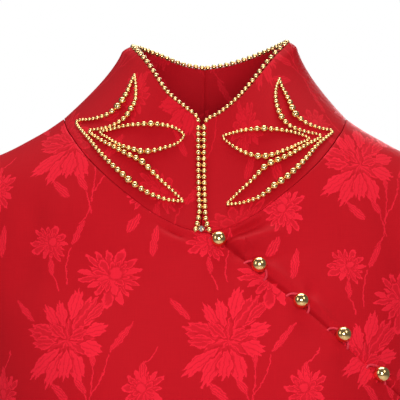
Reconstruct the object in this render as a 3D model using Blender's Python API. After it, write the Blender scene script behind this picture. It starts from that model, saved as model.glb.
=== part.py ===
"""A sleeveless cheongsam dress, worn: hollow, open at the neck, armholes and hem.

Metres, +Z up. The front faces -Y, so the wearer's right side is at -X. The origin is midway between
the two points where the collar meets the shoulder seams, which is where the wearer holds it up.
"""

import math

import bmesh
import bpy
import numpy as np
from mathutils.bvhtree import BVHTree

# Cloth and seams
CLOTH = 0.0015
COLLAR_CLOTH = 0.0020
SEAM_GAP = 0.0004
NECK_GAP = 0.0006
LAYER_GAP = 0.0004

# Heights of the figure, counted from the neck points
HEM = -1.120
SLIT_TOP = -0.800
SLIT_GAPE = 0.010
UNDERARM = -0.222

# The neck, the shoulder and the fastening
NECK_REACH = 0.1105
SHOULDER_DEPTH = 0.100
COLLAR_SPLIT = -0.003
PLACKET_START = 0.003
UNDERLAP = 0.026
BUTTON_STAND = 0.013
SINK_REACH = 0.030
ROUNDNESS = 2.3

# The bust, as one soft rise on each side of the centre
BUST_RISE = 0.016
BUST_REACH = 0.084
BUST_HEIGHT = -0.240
BUST_WIDTH = 0.062
BUST_TALL = 0.070

# The collar
COLLAR_HOLLOW = 0.0026
EAR_ROLL = 0.0037
EAR_SPREAD = 0.16
ROLL_RISE = 0.93

# Buttons, loops and beads
BALL_RADIUS = 0.0060
SHANK_RADIUS = 0.0012
BALL_LIFT = 0.0084
CORD_RADIUS = 0.0009
EDGE_BEAD_RADIUS = 0.0020
FRONT_BEAD_RADIUS = 0.0022
STONE_RADIUS = 0.0024

# The view that the flat measures of the beadwork and placket are taken in
VIEW_DISTANCE = 2.4
VIEW_TILT = math.radians(6)
VIEW_CENTRE = np.array([-0.0039, 0.0, -0.063])

# Numbers of steps in the meshes
SHOULDER_STEPS = 4
NECK_STEPS = 12
NAPE_STEPS = 7
YOKE_STEPS = 7
COLLAR_RISES = (0, 0.16, 0.33, 0.50, 0.67, 0.82, 0.93, 0.975, 1)
FINE = 400


def table(columns, *rows):
    """A table with named columns and a row for each section."""
    return dict(zip(columns.split(), np.array(rows, float).T))


TORSO = table(
    "height half_width front_depth back_depth",
    (-1.120, 0.184, 0.096, 0.100),
    (-0.860, 0.188, 0.106, 0.114),
    (-0.620, 0.187, 0.114, 0.138),
    (-0.500, 0.166, 0.110, 0.118),
    (-0.400, 0.142, 0.100, 0.098),
    (-0.320, 0.155, 0.104, 0.102),
    (-0.245, 0.1735, 0.112, 0.108),
    (-0.222, 0.1750, 0.110, 0.109),
    (-0.150, 0.1810, 0.096, 0.109),
    (-0.097, 0.1920, 0.080, 0.102),
    (0.000, 0.2050, 0.068, 0.078),
    (0.090, 0.2100, 0.060, 0.070),
)

RIDGE = table(
    "reach height",
    (0.000, 0.080),
    (0.050, 0.050),
    (0.082, 0.022),
    (0.1105, 0.0),
    (0.122, -0.008),
    (0.136, -0.016),
    (0.152, -0.0245),
    (0.170, -0.032),
    (0.187, -0.039),
)

ARMHOLE = table(
    "height reach",
    (-0.222, 0.1750),
    (-0.206, 0.1720),
    (-0.180, 0.1670),
    (-0.150, 0.1645),
    (-0.110, 0.1665),
    (-0.070, 0.1760),
    (-0.039, 0.1870),
)

NECK_FRONT = table(
    "reach height",
    (0.0000, -0.0970),
    (0.0195, -0.0915),
    (0.0410, -0.0800),
    (0.0580, -0.0670),
    (0.0780, -0.0495),
    (0.0905, -0.0360),
    (0.1020, -0.0195),
    (0.1080, -0.0085),
    (0.1105, 0.0000),
)
NAPE_RISE = 0.004

PLACKET = table(
    "reach height",
    (0.0030, -0.1005),
    (0.0138, -0.1071),
    (0.0245, -0.1140),
    (0.0360, -0.1250),
    (0.0626, -0.1459),
    (0.0907, -0.1700),
    (0.1215, -0.1990),
    (0.1384, -0.2132),
    (0.1750, -0.2430),
)

# The collar's top edge: its places flat in the view, and how far each stands behind the shoulder seams.
# A turn of 0 is the front edge, 1 the ear over the shoulder seam and 2 the centre back
TOP_RIGHT = table(
    "turn across up depth",
    (0.000, -0.0030, -0.0070, -0.0520),
    (0.030, -0.0043, -0.0027, -0.0519),
    (0.070, -0.0070, 0.0012, -0.0517),
    (0.158, -0.0156, 0.0083, -0.0510),
    (0.325, -0.0304, 0.0205, -0.0475),
    (0.498, -0.0395, 0.0333, -0.0415),
    (0.640, -0.0464, 0.0432, -0.0345),
    (0.767, -0.0519, 0.0497, -0.0255),
    (0.880, -0.0558, 0.0538, -0.0140),
    (1.000, -0.0581, 0.0563, 0.0000),
    (1.187, -0.0548, 0.0553, 0.0180),
    (1.397, -0.0470, 0.0528, 0.0360),
    (1.610, -0.0337, 0.0479, 0.0500),
    (1.813, -0.0170, 0.0414, 0.0580),
    (2.000, 0.0000, 0.0384, 0.0605),
)
TOP_LEFT = table(
    "turn across up depth",
    (0.000, -0.0030, -0.0070, -0.0520),
    (0.030, -0.0012, -0.0035, -0.0519),
    (0.070, 0.0020, -0.0010, -0.0517),
    (0.158, 0.0098, 0.0029, -0.0510),
    (0.325, 0.0246, 0.0144, -0.0475),
    (0.498, 0.0343, 0.0245, -0.0415),
    (0.640, 0.0425, 0.0343, -0.0345),
    (0.767, 0.0507, 0.0445, -0.0255),
    (0.880, 0.0581, 0.0526, -0.0140),
    (1.000, 0.0653, 0.0594, 0.0000),
    (1.187, 0.0617, 0.0576, 0.0180),
    (1.397, 0.0524, 0.0534, 0.0360),
    (1.610, 0.0371, 0.0473, 0.0500),
    (1.813, 0.0185, 0.0414, 0.0580),
    (2.000, 0.0000, 0.0384, 0.0605),
)

# Beadwork, measured flat in the view: across and up from the origin, and each bead's radius there
OUTER_RIGHT = table(
    "across up radius",
    (-0.0545, 0.0330, 0.0014),
    (-0.0580, 0.0240, 0.0022),
    (-0.0650, 0.0105, 0.0030),
    (-0.0780, 0.0030, 0.0022),
    (-0.0985, -0.0035, 0.0014),
    (-0.0820, -0.0265, 0.0020),
    (-0.0645, -0.0440, 0.0028),
    (-0.0580, -0.0500, 0.0031),
    (-0.0430, -0.0595, 0.0024),
    (-0.0185, -0.0645, 0.0014),
)
INNER_RIGHT = table(
    "across up radius",
    (-0.0545, 0.0190, 0.0013),
    (-0.0590, 0.0080, 0.0024),
    (-0.0705, -0.0040, 0.0018),
    (-0.0890, -0.0100, 0.0015),
    (-0.0700, -0.0225, 0.0020),
    (-0.0530, -0.0320, 0.0028),
    (-0.0475, -0.0360, 0.0031),
    (-0.0400, -0.0425, 0.0026),
    (-0.0245, -0.0575, 0.0016),
)
MIDDLE_RIGHT = table(
    "across up radius",
    (-0.0785, -0.0118, 0.0012),
    (-0.0620, -0.0078, 0.0021),
    (-0.0430, -0.0047, 0.0028),
    (-0.0270, -0.0065, 0.0021),
    (-0.0165, -0.0130, 0.0014),
    (-0.0300, -0.0225, 0.0022),
    (-0.0480, -0.0262, 0.0029),
    (-0.0650, -0.0208, 0.0021),
)
OUTER_LEFT = table(
    "across up radius",
    (0.0580, 0.0300, 0.0014),
    (0.0630, 0.0170, 0.0022),
    (0.0695, 0.0030, 0.0030),
    (0.0800, -0.0050, 0.0022),
    (0.0990, -0.0105, 0.0014),
    (0.0865, -0.0220, 0.0020),
    (0.0720, -0.0385, 0.0026),
    (0.0590, -0.0500, 0.0031),
    (0.0405, -0.0620, 0.0023),
    (0.0185, -0.0672, 0.0014),
)
INNER_LEFT = table(
    "across up radius",
    (0.0550, 0.0160, 0.0016),
    (0.0600, 0.0005, 0.0024),
    (0.0690, -0.0080, 0.0022),
    (0.0900, -0.0145, 0.0015),
    (0.0770, -0.0220, 0.0020),
    (0.0590, -0.0332, 0.0027),
    (0.0490, -0.0370, 0.0031),
    (0.0360, -0.0490, 0.0025),
    (0.0230, -0.0620, 0.0016),
)
MIDDLE_LEFT = table(
    "across up radius",
    (0.0775, -0.0165, 0.0012),
    (0.0590, -0.0095, 0.0022),
    (0.0450, -0.0086, 0.0028),
    (0.0300, -0.0100, 0.0021),
    (0.0145, -0.0140, 0.0014),
    (0.0275, -0.0250, 0.0022),
    (0.0440, -0.0305, 0.0029),
    (0.0640, -0.0232, 0.0018),
)

LEAVES = {
    "right": (OUTER_RIGHT, INNER_RIGHT, MIDDLE_RIGHT),
    "left": (OUTER_LEFT, INNER_LEFT, MIDDLE_LEFT),
}

# The two bead rows that close the collar, by height in the view: how far each lies from the split
FRONT_ROWS = table(
    "up right left",
    (-0.0875, 0.0046, 0.0062),
    (-0.0800, 0.0030, 0.0036),
    (-0.0720, 0.0025, 0.0027),
    (-0.0600, 0.0026, 0.0027),
    (-0.0400, 0.0028, 0.0027),
    (-0.0120, 0.0027, 0.0027),
)

# Buttons, by their share of the way along the placket, how far above its edge each is sewn, and how
# far each end of its loop is from the middle
BUTTONS = table(
    "share above spread",
    (0.033, 0.0034, 0.0055),
    (0.170, 0.0052, 0.0100),
    (0.315, 0.0036, 0.0100),
    (0.456, 0.0036, 0.0100),
    (0.600, 0.0036, 0.0100),
)


def read(rows, along, column, at):
    """Reads a smooth curve through one column of a table at places along another."""
    places, values = rows[along], rows[column]
    slopes = np.gradient(values, places)
    at = np.clip(at, places[0], places[-1])
    i = np.clip(np.searchsorted(places, at) - 1, 0, len(places) - 2)
    span = places[i + 1] - places[i]
    t = (at - places[i]) / span
    start = (2 * t**3 - 3 * t**2 + 1) * values[i] + (t**3 - 2 * t**2 + t) * span * slopes[i]
    end = (3 * t**2 - 2 * t**3) * values[i + 1] + (t**3 - t**2) * span * slopes[i + 1]
    return start + end


def ease(t):
    t = np.clip(t, 0, 1)
    return t * t * (3 - 2 * t)


def unit(vectors):
    return vectors / np.linalg.norm(vectors, axis=-1, keepdims=True)


# The body of the dress: every point of its outside comes from a height and a share of the way round


def edge_reach(z):
    """Half a panel's width: to the armhole above the underarm, to the side seam below it."""
    half_width = read(TORSO, "height", "half_width", z)
    return np.where(z > UNDERARM, np.minimum(half_width, read(ARMHOLE, "height", "reach", z)), half_width)


def body_depth(x, z, facing):
    """How far the dress stands in front of (facing -1) or behind (facing 1) the side seams."""
    column = "front_depth" if facing < 0 else "back_depth"
    half_width = read(TORSO, "height", "half_width", z)
    around = np.clip(1 - (np.abs(x) / half_width) ** ROUNDNESS, 0, 1) ** (1 / ROUNDNESS)
    depth = read(TORSO, "height", column, z) * around
    if facing < 0:
        across = (np.abs(x) - BUST_REACH) / BUST_WIDTH
        along = (z - BUST_HEIGHT) / BUST_TALL
        depth = depth + BUST_RISE * np.exp(-(across**2) - along**2) * around
    ridge = read(RIDGE, "reach", "height", np.abs(x))
    climb = np.clip(1 - (ridge - z) / SHOULDER_DEPTH, 0, 1)
    return depth * np.sqrt(1 - climb**2)


def body_point(x, z, facing):
    apart = SEAM_GAP + SLIT_GAPE * ease((SLIT_TOP - z) / (SLIT_TOP - HEM))
    y = facing * (apart + body_depth(x, z, facing))
    return np.stack(np.broadcast_arrays(x, y, z), axis=-1)


def column_point(share, z, facing):
    """A point of the column that is this share of the way from the centre to the panel's edge."""
    return body_point(edge_reach(z) * np.sin(share * math.pi / 2), z, facing)


def share_of(x, z):
    return math.asin(float(np.clip(x / edge_reach(z), -1, 1))) * 2 / math.pi


def meeting_height(share, line):
    """The height where a column meets a line given as a height for each x."""
    low, high = HEM, 0.088
    for _ in range(50):
        z = (low + high) / 2
        x = edge_reach(z) * math.sin(share * math.pi / 2)
        low, high = (low, z) if z > line(x) else (z, high)
    return (low + high) / 2


def ridge_line(x):
    return read(RIDGE, "reach", "height", abs(x))


def neck_line(x):
    return read(NECK_FRONT, "reach", "height", abs(x))


def nape_line(x):
    return NAPE_RISE * (1 - (x / NECK_REACH) ** 2)


def placket_line(x):
    return read(PLACKET, "reach", "height", x)


def walk(points):
    """The distance covered at each point of a line."""
    steps = np.linalg.norm(np.diff(points, axis=0), axis=1)
    return np.concatenate([[0], np.cumsum(steps)])


def at_distances(points, distances):
    covered = walk(points)
    return np.stack([np.interp(distances, covered, points[:, i]) for i in range(3)], axis=1)


def seam_points(start, end, line, facing, steps):
    """Points evenly spaced along the neck seam between two values of x."""
    angle = np.linspace(math.asin(start / NECK_REACH), math.asin(end / NECK_REACH), FINE)
    x = NECK_REACH * np.sin(angle)
    points = body_point(x, line(x), facing)
    points[np.abs(points[:, 2]) < 1e-6, 1] = facing * SEAM_GAP
    return at_distances(points, np.linspace(0, walk(points)[-1], steps + 1))


def column_rows(share, top, bottom, facing, distances):
    """Points down one column, each at its distance from the top or, past 1, a share of what is left."""
    fall = np.linspace(0, 1, FINE) ** 2
    points = column_point(share, top + (bottom - top) * fall, facing)
    length = walk(points)[-1]
    return at_distances(points, distances(length))


def skirt_distances(length):
    """Two rows close under the top edge, then rows that widen towards the hem."""
    first = np.array([0.0, UNDERLAP / 2, UNDERLAP])
    rest = np.array([0.03, 0.06, 0.09, 0.12, 0.15, 0.18, 0.21, 0.24, 0.28, 0.32, 0.36, 0.41])
    rest = np.concatenate([rest, np.linspace(0.46, 1.0, 11)])
    return np.concatenate([first, UNDERLAP + (length - UNDERLAP) * rest])


# Walls, tubes and turned pieces


def material(name, colour, roughness, metallic=0.0, sheen=0.0):
    made = bpy.data.materials.new(name)
    made.use_nodes = True
    shader = made.node_tree.nodes["Principled BSDF"]
    shader.inputs["Base Color"].default_value = (*colour, 1)
    shader.inputs["Roughness"].default_value = roughness
    shader.inputs["Metallic"].default_value = metallic
    shader.inputs["Sheen Weight"].default_value = sheen
    return made


def add_object(name, vertices, faces, surface, smooth=True):
    mesh = bpy.data.meshes.new(name)
    mesh.from_pydata([tuple(map(float, v)) for v in vertices], [], faces)
    shape = bmesh.new()
    shape.from_mesh(mesh)
    bmesh.ops.recalc_face_normals(shape, faces=shape.faces)
    shape.to_mesh(mesh)
    shape.free()
    mesh.materials.append(surface)
    if smooth:
        mesh.shade_smooth()
        mesh.set_sharp_from_angle(angle=math.radians(50))
    made = bpy.data.objects.new(name, mesh)
    bpy.context.scene.collection.objects.link(made)
    return made


def outward(grid):
    """Normals of a grid of points, facing away from the dress's upright axis."""
    down = np.gradient(grid, axis=0, edge_order=2)
    across = np.gradient(grid, axis=1)
    normals = unit(np.cross(down, across))
    away = grid * np.array([1, 1, 0])
    if np.sum(normals * away) < 0:
        normals = -normals
    # On the shoulder and side seams the two panels mirror each other, so no normal leans across
    on_seam = np.abs(grid[..., 1]) < SEAM_GAP * 1.5
    normals[on_seam, 1] = 0
    return unit(normals)


def wall(name, grid, normals, thickness, surface):
    """A closed wall of cloth: the grid is its outside, and its inside is moved in by the thickness."""
    rows, columns = grid.shape[:2]
    points = np.concatenate([grid.reshape(-1, 3), (grid - normals * thickness).reshape(-1, 3)])
    under = rows * columns

    def at(i, j):
        return i * columns + j

    outside = cloth_triangles(rows, columns)
    faces = outside + [(a + under, c + under, b + under) for a, b, c in outside]
    border = [at(i, 0) for i in range(rows)]
    border += [at(rows - 1, j) for j in range(1, columns)]
    border += [at(i, columns - 1) for i in range(rows - 2, -1, -1)]
    border += [at(0, j) for j in range(columns - 2, 0, -1)]
    for a, b in zip(border, border[1:] + border[:1]):
        faces += [(a, b + under, b), (a, a + under, b + under)]
    return add_object(name, points, faces, surface)


def tube(name, path, radii, surface, closed=False, sides=6):
    """A round cord along a path, with a radius at each of its points."""
    path = np.asarray(path)
    if closed:
        ahead = np.roll(path, -1, axis=0) - np.roll(path, 1, axis=0)
    else:
        ahead = np.gradient(path, axis=0)
    ahead = unit(ahead)
    side = unit(np.cross(ahead, path * np.array([1, 1, 0])))
    up = np.cross(side, ahead)
    turns = np.arange(sides) * 2 * math.pi / sides
    rings = [
        centre + radius * (math.cos(t) * a + math.sin(t) * b)
        for centre, radius, a, b in zip(path, radii, side, up)
        for t in turns
    ]
    count = len(path)
    faces = []
    for i in range(count if closed else count - 1):
        for k in range(sides):
            a, b = i * sides + k, i * sides + (k + 1) % sides
            c, d = (a + sides) % (count * sides), (b + sides) % (count * sides)
            faces += [(a, b, d), (a, d, c)]
    if not closed:
        for first in (0, (count - 1) * sides):
            faces += [(first, first + k, first + k + 1) for k in range(1, sides - 1)]
    return add_object(name, rings, faces, surface)


def turned(name, profile, foot, axis, surface, sides=12):
    """A piece turned about an axis: the profile is (radius, height) pairs from its foot to its top."""
    axis = unit(axis)
    side = unit(np.cross(axis, [0.0, 0.0, 1.0]))
    up = np.cross(axis, side)
    points = [foot + axis * profile[0][1]]
    for radius, height in profile[1:-1]:
        for k in range(sides):
            t = 2 * math.pi * k / sides
            points.append(foot + axis * height + radius * (math.cos(t) * side + math.sin(t) * up))
    points.append(foot + axis * profile[-1][1])
    last = len(points) - 1
    faces = []
    for k in range(sides):
        n = (k + 1) % sides
        faces.append((0, 1 + k, 1 + n))
        for ring in range(len(profile) - 3):
            a, b = 1 + ring * sides + k, 1 + ring * sides + n
            faces += [(a, a + sides, b), (b, a + sides, b + sides)]
        faces.append((last, last - sides + n, last - sides + k))
    return add_object(name, points, faces, surface)


# The dress's body


def neck_shares(start, end):
    """The columns that start from the front neck seam, between two values of x."""
    return [share_of(x, z) for x, _, z in seam_points(start, end, neck_line, -1, NECK_STEPS)]


def shoulder_shares(neck_share):
    return [neck_share + (1 - neck_share) * k / SHOULDER_STEPS for k in range(1, SHOULDER_STEPS + 1)]


def front_panel_grid(right_shares, left_shares):
    columns = [-s for s in reversed(shoulder_shares(-right_shares[0]))]
    tops = [meeting_height(s, ridge_line) for s in columns]
    for share in right_shares + left_shares[:1]:
        columns.append(share)
        tops.append(meeting_height(share, neck_line))
    for share in left_shares[1:] + shoulder_shares(left_shares[-1]):
        columns.append(share)
        tops.append(meeting_height(share, placket_line))
    rows = [column_rows(s, top, HEM, -1, skirt_distances) for s, top in zip(columns, tops)]
    return np.stack(rows, axis=1)


def under_panel_grid(left_shares, front, first_column):
    """The yoke that carries the buttons. Past the placket it takes the front panel's own points."""
    columns = []
    for k, share in enumerate(left_shares + shoulder_shares(left_shares[-1])):
        line = neck_line if k < len(left_shares) else ridge_line
        top = meeting_height(share, line)
        lap = front[:3, first_column + k]
        bottom = min(lap[0, 2], top - 0.002)

        def even(length):
            lead = min(BUTTON_STAND, length / 3)
            return np.append(np.linspace(0, length - lead, YOKE_STEPS), length)

        above = column_rows(share, top, bottom, -1, even)
        columns.append(np.concatenate([above, lap[1:]]))
    return np.stack(columns, axis=1)


def back_panel_grid(nape):
    shares = [share_of(x, z) for x, _, z in nape]
    columns = shoulder_shares(shares[0])[::-1] + shares + [-s for s in shoulder_shares(-shares[-1])]
    rows = []
    for k, share in enumerate(columns):
        on_neck = SHOULDER_STEPS <= k < SHOULDER_STEPS + len(nape)
        top = meeting_height(share, nape_line if on_neck else ridge_line)
        rows.append(column_rows(share, top, HEM, 1, skirt_distances))
    return np.stack(rows, axis=1)


# The collar


def joined_base(front, back):
    """The neck seam from the front edge round to the centre back, and the turn at each point."""
    points = np.concatenate([front[:-1], (front[-1:] + back[:1]) / 2, back[1:]])
    before, after = walk(front), walk(back)
    turns = np.concatenate([before[:-1] / before[-1], 1 + after / after[-1]])
    return points, turns


def collar_lines(side):
    front = seam_points(COLLAR_SPLIT, side * NECK_REACH, neck_line, -1, FINE)
    back = seam_points(side * NECK_REACH, 0.0, nape_line, 1, FINE)
    return joined_base(front, back)


def placed(across, up, depth):
    """The point at a depth that shows at this place in the view."""
    level, tilt = math.cos(VIEW_TILT), math.sin(VIEW_TILT)
    over = up - VIEW_CENTRE[2]
    above = over * (VIEW_DISTANCE + depth * level) + VIEW_DISTANCE * depth * tilt
    above = above / (VIEW_DISTANCE * level - over * tilt)
    scale = VIEW_DISTANCE / (VIEW_DISTANCE + depth * level + above * tilt)
    aside = (across - VIEW_CENTRE[0]) / scale
    return np.stack([VIEW_CENTRE[0] + aside, depth, VIEW_CENTRE[2] + above], axis=-1)


def collar_point(side, lines, turn, rise):
    """A point on the collar: turn goes round it, and rise from its seam to its top edge."""
    points, turns = lines
    foot = np.stack([np.interp(turn, turns, points[:, i]) for i in range(3)], axis=-1)
    rows = TOP_LEFT if side > 0 else TOP_RIGHT
    top = placed(*(read(rows, "turn", column, turn) for column in ("across", "up", "depth")))
    rise = np.asarray(rise)[..., None]
    point = foot + (top - foot) * rise
    out = unit(point * np.array([1, 1, 0]))
    # Over the ears the edge rolls in, so that the cloth stands out just under it
    beyond = (rise - ROLL_RISE) / (1 - ROLL_RISE)
    roll = np.where(rise < ROLL_RISE, (rise / ROLL_RISE) ** 5, 1 - beyond**2)
    roll = roll * EAR_ROLL * np.exp(-(((np.asarray(turn)[..., None] - 1) / EAR_SPREAD) ** 2))
    return point + out * (roll - COLLAR_HOLLOW * 4 * rise * (1 - rise))


def collar_normal(side, lines, turn, rise):
    step = 0.004
    low, high = max(turn - step, 0), min(turn + step, 2)
    around = collar_point(side, lines, high, rise) - collar_point(side, lines, low, rise)
    upward = collar_point(side, lines, turn, rise + step) - collar_point(side, lines, turn, rise - step)
    normal = unit(np.cross(around, upward))
    return normal if normal @ (collar_point(side, lines, turn, rise) * [1, 1, 0]) > 0 else -normal


def square_to_edge(edge, away):
    """The direction across an edge, in the surface that leads away from it."""
    along = unit(np.gradient(edge, axis=0))
    return unit(away - np.sum(away * along, axis=1, keepdims=True) * along)


def collar_grid(side, turns, lines):
    grid = np.stack([collar_point(side, lines, turns, np.full(len(turns), r)) for r in COLLAR_RISES])
    # The edges at the front split and the centre back stand clear of the other half
    shift = SEAM_GAP / 2 + 0.0001
    grid[:, 0, 0] += side * shift
    grid[:, -1, 0] = side * shift
    grid[0] += square_to_edge(grid[0], grid[1] - grid[0]) * NECK_GAP
    return grid


def seen(point):
    """Where a point shows in the view, as metres across and up on the plane through the view's centre."""
    ahead = np.array([0, math.cos(VIEW_TILT), math.sin(VIEW_TILT)])
    up = np.array([0, -math.sin(VIEW_TILT), math.cos(VIEW_TILT)])
    away = point - VIEW_CENTRE
    scale = VIEW_DISTANCE / (VIEW_DISTANCE + away @ ahead)
    return np.stack([VIEW_CENTRE[0] + scale * away[..., 0], VIEW_CENTRE[2] + scale * (away @ up)], axis=-1)


def collar_spot(side, lines, across, up):
    """The turn and rise of the point of the collar that shows at this place in the view."""
    target = np.array([across, up])
    turns, rises = (grid.ravel() for grid in np.meshgrid(np.linspace(0, 0.98, 25), np.linspace(0.02, 0.98, 17)))
    shown = seen(collar_point(side, lines, turns, rises))
    nearest = int(np.argmin(np.sum((shown - target) ** 2, axis=1)))
    turn, rise = turns[nearest], rises[nearest]
    step = 1e-4
    for _ in range(5):
        here = seen(collar_point(side, lines, turn, rise))
        by_turn = (seen(collar_point(side, lines, turn + step, rise)) - here) / step
        by_rise = (seen(collar_point(side, lines, turn, rise + step)) - here) / step
        change = np.linalg.solve(np.stack([by_turn, by_rise], axis=1), target - here)
        turn = float(np.clip(turn + change[0], 0, 0.995))
        rise = float(np.clip(rise + change[1], 0.01, 0.99))
    return turn, rise


# Beadwork, as plain strings that swell where the beads are large


def smooth_path(rows, count, closed):
    """Evenly spaced rows (across, up, radius) on a smooth line through a table's rows."""
    points = np.stack([rows["across"], rows["up"], rows["radius"]], axis=1)
    n = len(points)
    spans = n if closed else n - 1
    found = []
    for place in np.linspace(0, spans, 40 * spans, endpoint=not closed):
        i = min(int(place), spans - 1)
        t = place - i
        if closed:
            p, a, b, q = (points[(i + k) % n] for k in (-1, 0, 1, 2))
        else:
            p, a, b, q = (points[min(max(i + k, 0), n - 1)] for k in (-1, 0, 1, 2))
        bend = 2 * a + (b - p) * t + (2 * p - 5 * a + 4 * b - q) * t**2 + (3 * a - p - 3 * b + q) * t**3
        found.append(bend / 2)
    found = np.array(found)
    covered = walk(found * np.array([1, 1, 0]))
    places = np.linspace(0, covered[-1], count, endpoint=not closed)
    return np.stack([np.interp(places, covered, found[:, i]) for i in range(3)], axis=1)


def add_leaf_string(name, side, lines, rows, count, surface, closed=False):
    path, radii = [], []
    for across, up, radius in smooth_path(rows, count, closed):
        turn, rise = collar_spot(side, lines, across, up)
        normal = collar_normal(side, lines, turn, rise)
        path.append(collar_point(side, lines, turn, rise) + normal * (radius + LAYER_GAP))
        radii.append(radius)
    return tube(name, path, radii, surface, closed)


def add_front_row(name, side, lines, column, surface):
    path = []
    for up in np.linspace(FRONT_ROWS["up"][0], FRONT_ROWS["up"][-1], 10):
        away = read(FRONT_ROWS, "up", column, up)
        turn, rise = collar_spot(side, lines, COLLAR_SPLIT + side * away, up)
        normal = collar_normal(side, lines, turn, rise)
        path.append(collar_point(side, lines, turn, rise) + normal * (FRONT_BEAD_RADIUS + LAYER_GAP))
    return tube(name, path, [FRONT_BEAD_RADIUS] * len(path), surface)


def add_edge_string(name, grid, normals, surface):
    """Beads sewn along the collar's top edge, over the middle of the cloth."""
    upward = square_to_edge(grid[-1], grid[-1] - grid[-2])
    path = grid[-1] - normals[-1] * COLLAR_CLOTH / 2 + upward * (EDGE_BEAD_RADIUS + LAYER_GAP)
    path = path[1:-1]
    return tube(name, path, [EDGE_BEAD_RADIUS] * len(path), surface)


# Buttons and loops


def placket_frame(share, front, first_column):
    """A point of the placket's edge, the way along it and the way up across it."""
    edge = front[0, first_column:]
    covered = walk(edge)
    place = share * covered[-1]
    step = 0.004
    here, before, after = at_distances(edge, [place, place - step, place + step])
    along = unit(after - before)
    below = front[2, first_column:]
    inward = unit(at_distances(below, [share * walk(below)[-1]])[0] - here)
    normal = unit(np.cross(along, inward))
    if normal[1] > 0:
        normal = -normal
    across = np.cross(normal, along)
    if across[2] < 0:
        across = -across
    return here, along, across


def cloth_triangles(rows, columns):
    """The triangles of a grid of points, cut along the same diagonal in every wall."""
    faces = []
    for i in range(rows - 1):
        for j in range(columns - 1):
            a, b = i * columns + j, (i + 1) * columns + j
            faces += [(a, b, b + 1), (a, b + 1, a + 1)]
    return faces


def on_cloth(grid, place):
    """The nearest point of a wall's outside, and its outward normal there."""
    points = [tuple(map(float, p)) for p in grid.reshape(-1, 3)]
    tree = BVHTree.FromPolygons(points, cloth_triangles(*grid.shape[:2]))
    foot, normal, _, _ = tree.find_nearest(tuple(map(float, place)))
    foot, normal = np.array(foot), np.array(normal)
    return foot, normal if normal[1] < 0 else -normal


def add_button(name, foot, normal, surface):
    """A ball on a short shank, turned in one piece."""
    profile = [(0, LAYER_GAP), (SHANK_RADIUS, LAYER_GAP)]
    for k in range(1, 9):
        angle = math.pi * (1 - k / 8.0)
        radius = BALL_RADIUS * math.sin(angle)
        if k == 1:
            radius = max(radius, SHANK_RADIUS * 1.3)
        profile.append((radius, BALL_LIFT + BALL_RADIUS * math.cos(angle)))
    return turned(name, profile, foot, normal, surface)


def add_loop(name, edge, along, across, foot, up, spread, surface):
    """A bent cord from the placket's edge, round the button's shank and back to the edge."""
    start = LAYER_GAP + 0.0006
    tip = (foot - edge) @ across + SHANK_RADIUS + CORD_RADIUS + 0.0008
    bend = ((1.00, 0.00), (0.97, 0.16), (0.86, 0.40), (0.68, 0.66), (0.42, 0.88), (0.00, 1.00))
    shape = [(-side, out) for side, out in bend] + [(side, out) for side, out in reversed(bend[:-1])]
    path = []
    for side, out in shape:
        place = edge + along * spread * side + across * (start + (tip - start) * out)
        at_edge = CORD_RADIUS - CLOTH
        on_yoke = (foot - place) @ up + CORD_RADIUS + LAYER_GAP
        height = at_edge + (on_yoke - at_edge) * ease(out * 1.5)
        path.append(place + up * height)
    return tube(name, path, [CORD_RADIUS] * len(path), surface)


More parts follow.
